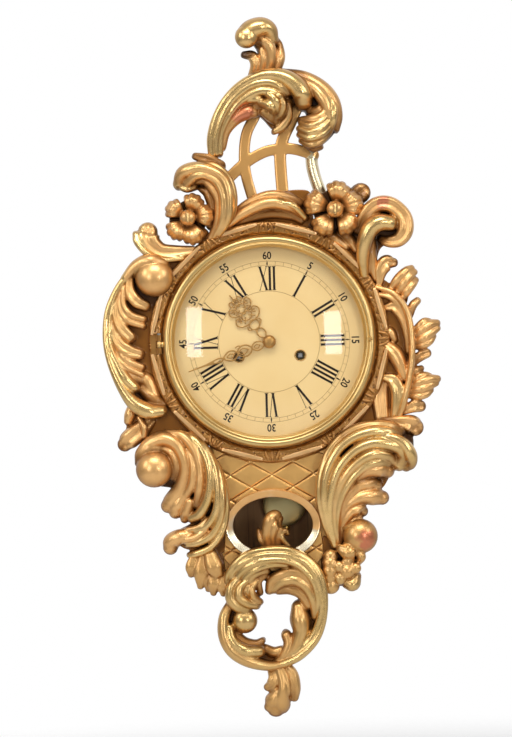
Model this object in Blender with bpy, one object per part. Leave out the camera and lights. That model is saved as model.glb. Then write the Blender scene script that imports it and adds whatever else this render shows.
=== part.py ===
"""Carved and gilded wall clock of the cartel kind, built as the separate pieces it comes apart into.

Sizes and places are millimetres on the clock: x to the right, d outwards from the wall, z up from the
middle of the dial. `spot` turns such a place into Blender's metres, with the clock facing -Y.
"""

import math

import bmesh
import bpy
from mathutils import Matrix, Vector

MM = 0.001
GAP = 0.35
MERGE = 0.02
ROUND_SIDES = 32

# Case, from the wall outwards
BACK_THICK = 5.0
PENDULUM_BAY = 11.0
CASE_WALL = 10.0
BOARD_THICK = 14.0
TRUNK_MARGIN = 7.0
TRUNK_WALL = 7.0
TRUNK_BELOW_APERTURE = 42.0
STRAP_SEAT = 12.0

# Dial, bezel and carved ring
DIAL_RADIUS = 97.0
DIAL_THICK = 1.6
DIAL_SEAT = 17.0
DIAL_CENTRE_HOLE = 6.5
WINDING_HOLE = 5.0
DIAL_CLEARANCE = 1.0
BEZEL_LIP = 3.0
BEZEL_LIP_DEPTH = 5.5
BEZEL_LIP_THICK = 2.1
BEZEL_MOULDING = [(0.0, 8.0), (1.8, 2.0), (5.0, 0.0), (8.0, 0.0)]
BEZEL_WIDTH = 12.0
BEZEL_DEPTH = 18.0
GLASS_RISE = 14.0
GLASS_THICK = 2.0
RING_WIDTH = 13.4
RING_DEPTH = 9.0
REED_COUNT = 12
REED_RADIUS = 2.4
REED_ARC = math.radians(19)
KNUCKLE_RADIUS = 2.6
KNUCKLE_LENGTH = 6.0
HINGE_LEAF = 2.0
HINGE_LEAF_WIDTH = 8.5
HINGE_PIN_RADIUS = 1.0
PULL_RADIUS = 2.4
PULL_HEIGHT = 4.5
PULL_INSET = 6.4
BOARD_INSET = 2.0

# Hands, showing the time in the photograph
MINUTE_ANGLE = math.radians(251)
HOUR_ANGLE = math.radians(300) + MINUTE_ANGLE / 12
MINUTE_LENGTH = 87.0
HOUR_LENGTH = 59.0
HAND_THICK = 1.2
HAND_BAND = 1.3
HAIR = 0.03
HUB_WALL = 2.4
HAND_SPACE = 1.4
NUT_RADIUS = 6.5
NUT_HEIGHT = 4.0

# Pierced eyes of the hands as (across, out, half-width, half-length), and where the blade starts, all as
# shares of the hand's length
MINUTE_EYES = [(0.0, 0.153, 0.052, 0.101), (0.0, 0.34, 0.075, 0.098), (0.0, 0.52, 0.063, 0.104)]
MINUTE_BLADE_FROM = 0.6
HOUR_EYES = [(0.0, 0.262, 0.068, 0.163), (0.0, 0.6, 0.093, 0.186), (-0.149, 0.56, 0.093, 0.144),
             (0.149, 0.56, 0.093, 0.144)]
HOUR_BLADE_FROM = 0.75
BLADE_HALF = 2.3
POINT_HALF = 0.5

# Apron with the pendulum aperture
APERTURE_BELOW_RING = 63.0
APERTURE_X = -1.5
APERTURE_HALF_WIDTH = 40.0
APERTURE_HALF_HEIGHT = 28.0
PANEL_THICK = 4.0
RIM_WIDTH = 8.0
RIM_DEPTH = 8.0
PANEL_UNDER_RING = 19.0
PANEL_UNDER_RIM = 11.0
BOARD_UNDER_RING = 37.0
BOARD_MARGIN = 5.0
APRON_FLARE = 12.0
APRON_WAIST = 4.0
APRON_BELLY = 2.0
APRON_CORNER = 10.0

# Carving: the ornaments are drawn round a ring of this radius and grow with the real one
DRAWN_RING = 121.1
CARVING_BACK_STEP = 2.0
CARVING_STEP = 30.0
CARVING_GAP = 0.5
SHARPEST = 2.0

# Movement
PLATE_THICK = 2.4
PLATE_SPACE = 21.6
PLATE_MARGIN = 1.5
STRAP_THICK = 2.6
STRAP_WIDTH = 12.0
STRAP_HEIGHT = 52.0
PILLAR_RADIUS = 4.0
PILLAR_INSET = 6.5
SHAFT_RADIUS = 1.8
PIVOT_RADIUS = 1.2
WHEEL_THICK = 1.6
PINION_LENGTH = 4.0
ADDENDUM = 0.55
DEDENDUM = 1.15
GREAT_TEETH = 28
CENTRE_PINION = 7
GREAT_MODULE = 1.95
CENTRE_TEETH = 28
THIRD_PINION = 7
CENTRE_MODULE = 1.25
THIRD_TEETH = 28
ESCAPE_PINION = 7
THIRD_MODULE = 1.0
ESCAPE_TEETH = 24
ESCAPE_RADIUS = 13.0
PALLET_RISE = 17.8
CRUTCH_LENGTH = 31.0
CRUTCH_HALF = 1.5
CRUTCH_THICK = 1.6
FORK_WALL = 1.8
FORK_HEIGHT = 3.0
CENTRE_WHEEL_STEP = 1.5
THIRD_WHEEL_STEP = 7.5
ESCAPE_WHEEL_STEP = 4.5
MOTION_STEP = 1.6
MOTION_FACE = 3.0
STUD_PROUD = 0.9
CANNON_TEETH = 8
MINUTE_TEETH = 24
MINUTE_PINION = 6
HOUR_TEETH = 24
MOTION_REACH = 20.0
MINUTE_WHEEL_DIRECTION = math.radians(20)
BARREL_DROP = 14.5
BARREL_RADIUS = 25.0
BARREL_DEPTH = 10.5
GREAT_THICK = 2.2
WINDING_RADIUS = 3.0
WINDING_SQUARE = 2.0

# Pendulum, stored as the photograph catches it, a little to the right
SWING = math.radians(2.8)
BOB_ABOVE_APERTURE = 17.0
BOB_RADIUS = 22.0
BOB_THICK = 7.0
ROD_RADIUS = 1.2
SPRING_LENGTH = 5.5
SPRING_WIDTH = 3.8
SPRING_THICK = 0.5
NUT_DISC_RADIUS = 4.0
NUT_DISC_HEIGHT = 3.0

# Striking
HAMMER_PIVOT = (-50.0, 36.0)
HAMMER_HEAD_Z = 8.0
HAMMER_HEAD_RADIUS = 4.0
HAMMER_HEAD_LENGTH = 8.0
GONG_RADIUS = 1.5
GONG_LENGTH = 66.0
GONG_CLEARANCE = 1.0
GONG_BLOCK_WIDTH = 7.5
GONG_BLOCK_HEIGHT = 8.0
GONG_BLOCK_DROP = 5.0
GONG_BLOCK_REACH = 4.0
GONG_WALL_GAP = 1.5

# Hanging
HANGER_CLEARANCE = 2.0
HANGER_WIDTH = 26.0
HANGER_LENGTH = 20.0
HANGER_THICK = 2.0
NAIL_HEAD = 4.5
NAIL_SHANK = 2.2
KEYHOLE_RISE = 7.0
KEYHOLE_MARGIN = 3.0

# Layers worked out from those sizes
BACK_PLATE_BACK = BACK_THICK + PENDULUM_BAY
BACK_PLATE_FRONT = BACK_PLATE_BACK + PLATE_THICK
FRONT_PLATE_BACK = BACK_PLATE_FRONT + PLATE_SPACE
FRONT_PLATE_FRONT = FRONT_PLATE_BACK + PLATE_THICK
STRAP_BACK = FRONT_PLATE_FRONT + GAP
BOARD_BACK = STRAP_BACK + STRAP_THICK + GAP
BOARD_FRONT = BOARD_BACK + BOARD_THICK
CASE_BACK = BACK_THICK + GAP
CASE_FRONT = BOARD_BACK - GAP
SEAT = BOARD_FRONT + GAP
DIAL_FRONT = SEAT + DIAL_THICK
BEZEL_FRONT = SEAT + BEZEL_DEPTH
BEZEL_REBATE = DIAL_RADIUS + DIAL_CLEARANCE
BEZEL_SIGHT = BEZEL_REBATE - BEZEL_LIP
BEZEL_RADIUS = BEZEL_SIGHT + BEZEL_WIDTH
RING_FRONT = SEAT + RING_DEPTH
RING_INNER = BEZEL_RADIUS + 2 * GAP
RING_OUTER = RING_INNER + RING_WIDTH
BOARD_HOLE = DIAL_RADIUS - DIAL_SEAT
CASE_INNER = BOARD_HOLE + STRAP_SEAT
CASE_RADIUS = CASE_INNER + CASE_WALL
TRUNK_HALF = APERTURE_HALF_WIDTH + TRUNK_MARGIN
HANGER_TOP = math.sqrt(CASE_INNER ** 2 - (HANGER_WIDTH / 2) ** 2) - HANGER_CLEARANCE
HANGER_HEIGHT = HANGER_TOP - HANGER_LENGTH / 2
CARVING_SCALE = RING_OUTER / DRAWN_RING
APERTURE_Z = -RING_OUTER - APERTURE_BELOW_RING * CARVING_SCALE
PANEL_FRONT = SEAT + PANEL_THICK
PANEL_SIDE = APERTURE_HALF_WIDTH + RIM_WIDTH
PANEL_ABOVE = APERTURE_BELOW_RING + PANEL_UNDER_RING
PANEL_BELOW = APERTURE_HALF_HEIGHT + RIM_WIDTH + PANEL_UNDER_RIM
BOARD_SIDE = PANEL_SIDE + BOARD_MARGIN
BOARD_ABOVE = APERTURE_BELOW_RING + BOARD_UNDER_RING
BOARD_BELOW = PANEL_BELOW + BOARD_MARGIN
BOARD_RADIUS = RING_OUTER - BOARD_INSET
CARVING_BACK = BOARD_BACK + CARVING_BACK_STEP
HINGE_X = -RING_INNER - KNUCKLE_RADIUS
HINGE_D = RING_FRONT + GAP + HINGE_LEAF + KNUCKLE_RADIUS
PENDULUM_D = BACK_THICK + PENDULUM_BAY / 2

GREAT_REACH = (GREAT_TEETH + CENTRE_PINION) * GREAT_MODULE / 2
GREAT_RADIUS = GREAT_TEETH * GREAT_MODULE / 2 + ADDENDUM * GREAT_MODULE
BARREL_X = math.sqrt(GREAT_REACH ** 2 - BARREL_DROP ** 2)
PLATE_RADIUS = GREAT_REACH + GREAT_RADIUS + PLATE_MARGIN
THIRD_Z = (CENTRE_TEETH + THIRD_PINION) * CENTRE_MODULE / 2
ESCAPE_Z = THIRD_Z + (THIRD_TEETH + ESCAPE_PINION) * THIRD_MODULE / 2
ANCHOR_Z = ESCAPE_Z + PALLET_RISE
CANNON_MODULE = 2 * MOTION_REACH / (CANNON_TEETH + MINUTE_TEETH)
HOUR_MODULE = 2 * MOTION_REACH / (MINUTE_PINION + HOUR_TEETH)
MINUTE_WHEEL_X = MOTION_REACH * math.cos(MINUTE_WHEEL_DIRECTION)
MINUTE_WHEEL_Z = MOTION_REACH * math.sin(MINUTE_WHEEL_DIRECTION)
BOB_Z = APERTURE_Z + BOB_ABOVE_APERTURE
MOTION_BACK = FRONT_PLATE_FRONT + MOTION_STEP
MOTION_FRONT = MOTION_BACK + MOTION_FACE
STUD_FRONT = MOTION_FRONT + PINION_LENGTH + STUD_PROUD
GONG_BLOCK_LOW = HAMMER_PIVOT[1] - GONG_BLOCK_DROP
GONG_BLOCK_TOP = GONG_BLOCK_LOW + GONG_BLOCK_HEIGHT
GONG_BLOCK_OUTER = math.sqrt(CASE_INNER ** 2 - GONG_BLOCK_TOP ** 2) - GONG_WALL_GAP
GONG_X = GONG_BLOCK_WIDTH / 2 - GONG_BLOCK_OUTER
HAMMER_HEAD_X = GONG_X + GONG_RADIUS + GONG_CLEARANCE + HAMMER_HEAD_RADIUS

CANNON_RADIUS = SHAFT_RADIUS + GAP + 0.9
HOUR_PIPE_RADIUS = CANNON_RADIUS + GAP + 0.9
HOUR_HAND_BACK = DIAL_FRONT + HAND_SPACE
MINUTE_HAND_BACK = HOUR_HAND_BACK + HAND_THICK + HAND_SPACE
HAND_NUT_BACK = MINUTE_HAND_BACK + HAND_THICK + GAP

# Carved forms, drawn as they are seen from the front. A lobe is a list of (x, z, half-width, height over
# the board) along its middle, and a ball is one (x, z, radius, height). Earlier ornaments lie on top.
ORNAMENTS = {
    "left_flower": [
        (-79, 126, 10, 27),
        [(-76, 134, 5, 16), (-70, 144, 11, 22), (-66, 151, 8, 12)],
        [(-83, 132, 5, 16), (-90, 138, 11, 22), (-96, 141, 6, 12)],
        [(-85, 120, 5, 16), (-91, 113, 11, 22), (-95, 107, 6, 12)],
        [(-79, 116, 5, 16), (-75, 107, 10, 22), (-72, 100, 6, 12)],
        [(-70, 126, 5, 16), (-60, 128, 11, 22), (-53, 129, 6, 12)],
        [(-71, 118, 4, 14), (-65, 111, 7, 17), (-62, 107, 4, 10)],
    ],
    "right_flower": [
        (69, 131, 9, 26),
        [(71, 139, 5, 15), (74, 150, 11, 24), (75, 158, 7, 12)],
        [(61, 134, 5, 15), (50, 140, 12, 24), (42, 143, 7, 12)],
        [(63, 124, 5, 15), (54, 115, 11, 24), (49, 110, 6, 12)],
        [(73, 122, 5, 15), (80, 111, 12, 24), (84, 104, 7, 12)],
        [(78, 133, 5, 15), (90, 136, 12, 24), (97, 138, 6, 12)],
        [(63, 139, 4, 14), (61, 149, 6, 18), (61, 155, 4, 10)],
        [(88, 140, 5, 6), (95, 149, 10, 12), (99, 153, 7, 8)],
    ],
    "crest_left_scroll": [
        [(-50, 109, 3, 14), (-36, 126, 6, 24), (-34, 146, 6, 28), (-38, 163, 6, 28), (-50, 175, 6, 26),
         (-66, 177, 7, 24), (-80, 169, 7, 18), (-85, 161, 4, 10)],
        [(-57, 106, 3, 12), (-45, 121, 5, 20), (-43, 143, 6, 24), (-47, 158, 6, 24), (-56, 167, 6, 22),
         (-68, 167, 7, 20), (-79, 158, 4, 12)],
        [(-62, 105, 3, 10), (-52, 120, 4, 16), (-50, 138, 5, 18), (-54, 150, 5, 16), (-62, 156, 3, 10)],
        [(-48, 180, 4, 8), (-60, 184, 4, 8), (-70, 188, 2, 5)],
    ],
    "top_right_volute": [
        [(92, 113, 4, 14), (99, 127, 7, 22), (114, 135, 7, 26), (130, 130, 7, 26), (138, 116, 7, 26),
         (136, 102, 7, 24), (125, 96, 6, 20), (116, 97, 3, 12)],
        [(98, 67, 6, 14), (95, 84, 6, 22), (97, 100, 6, 26), (104, 112, 6, 28), (115, 117, 6, 28),
         (127, 116, 5, 22)],
        [(104, 106, 3, 12), (103, 88, 4, 14), (105, 72, 4, 12), (109, 60, 3, 8)],
    ],
    "top_left_volute": [
        [(-72, 98, 3, 12), (-92, 94, 6, 16), (-108, 95, 7, 18), (-119, 102, 7, 20), (-122, 112, 7, 20),
         (-116, 117, 5, 18), (-111, 112, 3, 12)],
    ],
    "left_acanthus": [
        (-117, 67, 20, 28),
        [(-128, 82, 4, 14), (-147, 66, 4, 14), (-159, 38, 4, 15), (-163, 8, 4, 16), (-158, -22, 4, 17),
         (-147, -49, 6, 20), (-130, -66, 8, 22), (-111, -70, 7, 20)],
        [(-141, 68, 4, 13), (-152, 42, 5, 15), (-153, 14, 6, 17), (-144, -3, 7, 20), (-131, -5, 5, 16)],
        [(-136, 66, 4, 15), (-144, 44, 5, 17), (-141, 26, 6, 18), (-131, 20, 5, 17), (-123, 21, 4, 14)],
        [(-134, 62, 4, 17), (-138, 48, 6, 20), (-131, 39, 6, 21), (-121, 41, 4, 16)],
        [(-155, 0, 4, 13), (-150, -20, 5, 15), (-138, -27, 5, 16), (-126, -28, 5, 14)],
        [(-153, -20, 4, 12), (-147, -36, 5, 15), (-138, -43, 5, 16)],
        [(-140, -30, 8, 8), (-128, -42, 9, 9), (-120, -56, 7, 9)],
    ],
    "left_lower_leaves": [
        [(-139, -60, 4, 8), (-143, -70, 5, 11), (-144, -79, 3, 8)],
        [(-124, -78, 5, 8), (-134, -88, 8, 13), (-146, -97, 8, 12), (-151, -101, 4, 8)],
    ],
    "lower_left_volute": [
        (-118, -126, 18, 30),
        [(-131, -108, 3, 20), (-122, -99, 5, 24), (-108, -97, 6, 25), (-95, -106, 6, 24), (-91, -125, 5, 22),
         (-96, -144, 6, 17), (-104, -159, 7, 12), (-105, -165, 3, 8)],
        [(-101, -104, 3, 18), (-98, -122, 4, 20), (-101, -138, 3, 12)],
        [(-103, -89, 4, 18), (-86, -97, 6, 24), (-77, -116, 6, 26), (-76, -138, 6, 25), (-78, -160, 4, 16)],
        [(-88, -92, 4, 18), (-69, -106, 6, 26), (-61, -128, 7, 29), (-61, -150, 7, 28), (-68, -168, 6, 24),
         (-83, -176, 4, 14)],
        [(-74, -99, 3, 16), (-58, -117, 5, 22), (-51, -142, 5, 25), (-51, -168, 5, 25), (-58, -190, 6, 23),
         (-72, -204, 6, 19), (-86, -210, 3, 10)],
        [(-64, -176, 5, 18), (-78, -188, 7, 17), (-96, -194, 9, 14), (-106, -201, 6, 10)],
    ],
    "lower_right_buds": [
        (88, -198, 15, 24),
        (72, -211, 9, 22),
        [(54, -220, 6, 18), (55, -231, 6, 18), (55, -238, 4, 12)],
        (57, -245, 7, 15),
        (72, -232, 9, 18),
        (77, -243, 5, 13),
    ],
    "lower_right_acanthus": [
        [(60, -206, 3, 12), (50, -182, 5, 20), (47, -155, 5, 24), (52, -128, 6, 26), (64, -108, 5, 24),
         (76, -98, 4, 18)],
        [(62, -206, 3, 12), (56, -178, 5, 20), (60, -148, 6, 26), (74, -121, 6, 28), (92, -107, 6, 28),
         (112, -103, 6, 28), (130, -108, 6, 26), (140, -119, 6, 24), (138, -131, 5, 16)],
        [(66, -102, 4, 18), (84, -93, 6, 24), (104, -91, 6, 25), (124, -96, 5, 20), (131, -101, 3, 14)],
        [(90, -84, 4, 14), (112, -84, 5, 16), (132, -86, 7, 15), (145, -90, 7, 12)],
        [(64, -206, 3, 12), (64, -176, 5, 18), (74, -148, 5, 22), (90, -130, 6, 24), (106, -122, 6, 24),
         (118, -122, 5, 20)],
        [(80, -140, 4, 17), (94, -132, 6, 20), (108, -132, 7, 18), (117, -134, 4, 12)],
        [(66, -204, 3, 10), (68, -178, 5, 14), (78, -158, 7, 16), (94, -152, 8, 15), (108, -156, 5, 10)],
        [(68, -198, 3, 10), (72, -182, 5, 13), (84, -172, 6, 13), (89, -174, 4, 8)],
    ],
    "right_branch": [
        [(106, 59, 3, 8), (121, 50, 4, 12), (134, 35, 4, 14), (141, 12, 4, 15), (142, -14, 4, 15),
         (138, -42, 5, 14), (130, -68, 5, 13), (124, -84, 4, 10)],
        [(117, 56, 4, 8), (115, 70, 6, 11), (121, 79, 6, 10), (126, 76, 3, 6)],
        [(130, 46, 4, 8), (136, 58, 8, 11), (145, 67, 6, 7)],
        [(141, 25, 3, 7), (144, 35, 5, 9), (151, 38, 3, 6)],
        [(142, -8, 5, 8), (154, 4, 10, 12), (166, 11, 8, 9), (173, 13, 3, 5)],
        [(142, -27, 3, 7), (150, -18, 5, 9), (158, -15, 5, 6)],
        [(138, -58, 4, 8), (149, -49, 10, 12), (161, -46, 9, 9), (170, -41, 3, 5)],
        [(133, -76, 3, 8), (144, -69, 6, 10), (152, -70, 4, 7)],
        [(120, 32, 3, 8), (131, 25, 5, 11), (136, 4, 5, 12), (134, -16, 5, 12), (131, -30, 5, 12)],
        [(119, -10, 4, 9), (126, -18, 6, 12), (131, -30, 5, 11)],
        [(114, -36, 3, 8), (123, -46, 5, 12), (127, -62, 5, 12), (127, -80, 4, 10)],
        [(107, -55, 6, 7), (106, -68, 6, 8), (106, -80, 5, 8)],
    ],
    "ring_top_leaf": [
        [(-40, 116, 3, 10), (-22, 131, 6, 19), (3, 139, 6, 22), (27, 133, 6, 19), (42, 119, 3, 10)],
        [(-36, 124, 3, 9), (-20, 140, 4, 14), (3, 148, 4, 16), (24, 146, 4, 14), (37, 138, 3, 9)],
        [(-22, 121, 4, 8), (3, 128, 5, 10), (26, 124, 4, 8)],
    ],
    "crest_scroll": [
        [(-49, 188, 5, 12), (-49, 206, 6, 18), (-44, 224, 6, 22), (-34, 242, 6, 24), (-18, 256, 6, 26),
         (2, 264, 6, 28), (22, 261, 7, 29), (36, 250, 8, 29), (40, 236, 7, 22)],
        [(8, 269, 4, 16), (28, 267, 6, 20), (50, 257, 8, 23), (66, 242, 9, 24), (73, 225, 8, 23),
         (72, 211, 4, 14)],
        [(60, 240, 6, 18), (67, 224, 8, 22), (62, 208, 9, 24), (50, 203, 11, 26), (42, 213, 8, 24),
         (43, 222, 4, 16)],
        [(-42, 200, 4, 14), (-37, 218, 5, 17), (-25, 233, 6, 19), (-8, 237, 7, 20), (6, 230, 6, 18)],
        [(-30, 232, 4, 16), (-14, 247, 6, 22), (5, 250, 6, 24), (16, 242, 6, 24), (19, 228, 7, 22),
         (12, 214, 5, 14)],
        [(0, 243, 5, 20), (10, 236, 9, 25), (8, 226, 5, 18)],
    ],
    "crest_finial": [
        [(13, 271, 4, 12), (14, 290, 5, 16), (12, 307, 6, 20), (2, 315, 8, 24), (-11, 312, 10, 26),
         (-15, 302, 7, 20)],
        [(6, 270, 5, 12), (7, 287, 6, 18), (2, 300, 5, 18), (-5, 302, 3, 12)],
        [(-6, 268, 5, 9), (-5, 280, 5, 12), (-11, 288, 4, 10), (-17, 287, 2, 6)],
        [(16, 273, 4, 8), (19, 288, 4, 10), (17, 300, 3, 6)],
    ],
    "pendant_scroll": [
        [(-50, -243, 3, 14), (-43, -226, 5, 22), (-26, -213, 5, 26), (-4, -209, 5, 27), (18, -211, 5, 26),
         (36, -223, 5, 24), (46, -242, 5, 23), (49, -264, 4, 20), (45, -288, 4, 18), (34, -308, 5, 17),
         (16, -321, 5, 16), (-4, -326, 4, 12)],
        [(-38, -240, 4, 20), (-30, -226, 6, 25), (-14, -219, 6, 28), (6, -219, 6, 28), (25, -226, 5, 25),
         (37, -242, 5, 22), (41, -262, 5, 20), (38, -280, 4, 14)],
        [(-24, -243, 4, 20), (-15, -230, 5, 22), (-4, -226, 4, 20)],
        [(-6, -246, 4, 14), (4, -238, 7, 20), (18, -238, 9, 22), (30, -248, 7, 20), (36, -262, 4, 14)],
        [(-46, -247, 7, 18), (-34, -252, 12, 25), (-24, -258, 8, 22)],
        [(-20, -250, 4, 16), (-24, -264, 6, 18), (-33, -276, 11, 22), (-37, -287, 6, 16)],
        [(-44, -262, 5, 12), (-53, -276, 7, 18), (-52, -296, 7, 20), (-41, -313, 7, 20), (-22, -323, 7, 20),
         (4, -325, 5, 14)],
        [(-44, -297, 4, 12), (-32, -309, 5, 14), (-17, -307, 5, 15)],
        [(23, -270, 5, 12), (25, -282, 9, 16), (22, -298, 8, 16), (12, -313, 6, 14), (4, -320, 3, 10)],
        [(9, -296, 5, 10), (8, -308, 6, 12), (0, -319, 4, 10)],
    ],
    "aperture_finial": [
        [(-4, -208, 5, 10), (-6, -194, 6, 16), (-3, -181, 8, 19), (3, -177, 6, 14)],
        [(-9, -208, 3, 8), (-14, -198, 3, 10), (-16, -189, 2, 6)],
        [(11, -208, 3, 8), (8, -198, 3, 12), (10, -190, 3, 9)],
    ],
    "apron_left_leaves": [
        [(-58, -212, 5, 10), (-66, -220, 9, 13), (-74, -224, 7, 10)],
        [(-74, -218, 4, 7), (-82, -224, 6, 9), (-84, -230, 3, 6)],
        [(-62, -230, 6, 8), (-72, -236, 9, 11), (-78, -240, 4, 7)],
        [(-54, -238, 5, 7), (-60, -243, 7, 9), (-65, -247, 4, 6)],
    ],
    "pendant_drop": [
        [(-1, -325, 5, 10), (4, -340, 6, 15), (2, -353, 9, 16), (-4, -363, 9, 13), (-8, -369, 6, 8)],
        [(-6, -327, 4, 9), (-6, -338, 5, 13), (-8, -347, 5, 10)],
        [(9, -325, 4, 8), (15, -338, 4, 11), (16, -350, 4, 10), (14, -359, 3, 6)],
    ],
}

# Outline of the solid ground that each ornament's lobes rise from, as (x, z)
GROUNDS = {
    "left_flower": [[(-99, 126), (-92, 108), (-76, 103), (-61, 112), (-57, 128), (-66, 146), (-84, 147)]],
    "right_flower": [[(47, 131), (53, 112), (69, 110), (86, 110), (92, 131), (86, 148), (70, 154), (53, 147)]],
    "crest_left_scroll": [[(-56, 104), (-40, 122), (-38, 150), (-44, 168), (-58, 173), (-78, 165),
                           (-66, 156), (-55, 140), (-53, 120)]],
    "top_right_volute": [[(98, 66), (92, 90), (92, 112), (100, 128), (116, 135), (132, 128), (138, 112),
                          (132, 98), (118, 96), (108, 98), (106, 80), (110, 62)]],
    "left_acanthus": [[(-118, 82), (-138, 74), (-152, 52), (-160, 20), (-160, -8), (-152, -36), (-138, -60),
                       (-118, -68), (-104, -66), (-112, -40), (-118, -10), (-118, 20), (-112, 50)]],
    "left_lower_leaves": [[(-120, -72), (-134, -66), (-142, -62), (-146, -75), (-149, -98), (-138, -94),
                           (-122, -80)]],
    "lower_left_volute": [[(-128, -104), (-108, -90), (-88, -84), (-70, -100), (-56, -120), (-50, -150),
                           (-52, -180), (-62, -198), (-84, -208), (-100, -200), (-98, -186), (-84, -178),
                           (-92, -165), (-104, -160), (-100, -146), (-124, -142), (-134, -126)]],
    "lower_right_acanthus": [[(60, -206), (48, -180), (46, -150), (54, -124), (68, -100), (86, -86),
                              (120, -82), (142, -90), (142, -124), (124, -134), (112, -152), (96, -158),
                              (88, -174), (74, -186), (68, -204)]],
    "lower_right_buds": [[(50, -214), (66, -206), (78, -188), (98, -188), (100, -202), (86, -212),
                          (80, -228), (80, -244), (58, -250), (50, -238)]],
    "right_branch": [[(104, 60), (118, 78), (126, 74), (134, 56), (142, 36), (146, 12), (148, -8),
                      (146, -28), (144, -50), (138, -72), (126, -88), (98, -86), (106, -56), (117, -30),
                      (120, 0), (117, 30)]],
    "ring_top_leaf": [[(-44, 110), (-30, 134), (-10, 146), (14, 148), (34, 138), (46, 112), (20, 120),
                       (0, 122), (-20, 120)]],
    "crest_scroll": [[(-52, 188), (-51, 210), (-44, 230), (-28, 250), (-5, 263), (25, 266), (50, 257),
                      (68, 241), (77, 222), (74, 207), (58, 194), (44, 197), (38, 210), (36, 228),
                      (24, 228), (10, 211), (-2, 222), (-10, 231), (-24, 226), (-36, 210), (-43, 190)]],
    "crest_finial": [[(-7, 267), (18, 270), (20, 290), (14, 308), (2, 312), (-10, 304), (-9, 284)]],
    "pendant_scroll": [[(-48, -244), (-40, -224), (-20, -211), (10, -208), (34, -220), (47, -242),
                        (49, -266), (45, -290), (34, -308), (12, -322), (-12, -327), (-10, -316),
                        (12, -306), (20, -290), (22, -268), (16, -254), (0, -247), (-18, -244),
                        (-30, -256)],
                       [(-45, -242), (-22, -242), (-22, -262), (-30, -284), (-40, -290), (-44, -300),
                        (-30, -312), (-10, -314), (-2, -324), (-22, -327), (-40, -318), (-54, -300),
                        (-58, -280), (-51, -262)]],
    "aperture_finial": [[(-14, -210), (14, -210), (10, -196), (4, -178), (-6, -182), (-14, -192)]],
    "apron_left_leaves": [[(-54, -206), (-78, -213), (-84, -228), (-76, -241), (-60, -248), (-50, -240)]],
    "pendant_drop": [[(-10, -324), (12, -324), (16, -350), (8, -360), (-6, -366), (-10, -345)]],
}
GROUND_HEIGHT = 5.0

# Flat bars of the crest's openwork, as (x, z) along the middle of each
LATTICE_BARS = [
    [(-9, 224), (-17, 205), (-20, 188), (-19, 170), (-12, 146)],
    [(20, 224), (16, 205), (15, 188), (15, 170), (17, 146)],
    [(49, 199), (48, 180), (51, 164), (57, 146)],
    [(-36, 166), (-20, 180), (0, 191), (18, 194), (32, 193), (50, 187)],
]
LATTICE_HALF = 4.8
LATTICE_THICK = 10.0

# Cross-section of a carved lobe and of a carved ball, in half-widths across and in its height
LOBE_SECTION = [(1.0, 0.0), (0.62, 1.0), (-0.62, 1.0), (-1.0, 0.0)]
RIDGE_SECTION = [(1.0, 0.0), (0.0, 1.0), (-1.0, 0.0)]
RIDGE_HALF = 6.0
CARVING_KEPT = (0.55, 0.65, 0.75, 0.85, 1.0)
BALL_PROFILE = [(0.0, 1.0), (0.6, 0.84), (0.93, 0.45), (1.0, 0.0), (0.0, 0.0)]
BALL_SIDES = 9
LOBE_SINK = 6.0

COLOURS = {
    "burnished_gold": ((0.80, 0.52, 0.18, 1), 0.25, 0.9),
    "matte_gold": ((0.70, 0.42, 0.15, 1), 0.5, 0.7),
    "ground_gold": ((0.42, 0.22, 0.07, 1), 0.6, 0.5),
    "pine": ((0.50, 0.34, 0.18, 1), 0.7, 0.0),
    "brass": ((0.78, 0.57, 0.25, 1), 0.3, 1.0),
    "gilt_brass": ((0.85, 0.62, 0.28, 1), 0.25, 1.0),
    "steel": ((0.55, 0.56, 0.58, 1), 0.3, 1.0),
    "dial_cream": ((0.87, 0.68, 0.34, 1), 0.4, 0.0),
    "glass": ((0.95, 0.97, 0.96, 0.2), 0.02, 0.0),
}

materials = {}


def spot(x, d, z):
    """A place on the clock in metres, facing -Y."""
    return Vector((x, -d, z)) * MM


def clear_scene():
    for item in list(bpy.data.objects):
        bpy.data.objects.remove(item)


def make_materials():
    for name, (colour, roughness, metallic) in COLOURS.items():
        material = bpy.data.materials.new(name)
        material.use_nodes = True
        shader = material.node_tree.nodes["Principled BSDF"]
        shader.inputs["Base Color"].default_value = colour
        shader.inputs["Alpha"].default_value = colour[3]
        shader.inputs["Roughness"].default_value = roughness
        shader.inputs["Metallic"].default_value = metallic
        materials[name] = material


def closed_mesh(bm):
    """A mesh from a closed set of faces, with its doubles merged and its faces pointing out."""
    bmesh.ops.remove_doubles(bm, verts=bm.verts, dist=1e-6)
    bare = [edge for edge in bm.edges if not edge.link_faces]
    bmesh.ops.delete(bm, geom=bare, context="EDGES")
    bmesh.ops.recalc_face_normals(bm, faces=bm.faces)
    mesh = bpy.data.meshes.new("piece")
    bm.to_mesh(mesh)
    bm.free()
    return mesh


def bridge(rings, loop):
    """Skin rings of places with quads. A loop of rings closes on itself, and others get end caps."""
    bm = bmesh.new()
    rows = [[bm.verts.new(place) for place in ring] for ring in rings]
    count = len(rows[0])
    pairs = list(zip(rows, rows[1:]))
    if loop:
        pairs.append((rows[-1], rows[0]))
    else:
        bm.faces.new(rows[0])
        bm.faces.new(reversed(rows[-1]))
    for here, there in pairs:
        for k in range(count):
            corners = (here[k], there[k], there[k - 1], here[k - 1])
            bm.faces.new(corners)
    return closed_mesh(bm)


def circle(x, z, radius, sides=16):
    turn = 2 * math.pi / sides
    return [(x + radius * math.cos(k * turn), z + radius * math.sin(k * turn)) for k in range(sides)]


def rectangle(x0, x1, z0, z1):
    return [(x0, z0), (x1, z0), (x1, z1), (x0, z1)]


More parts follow.
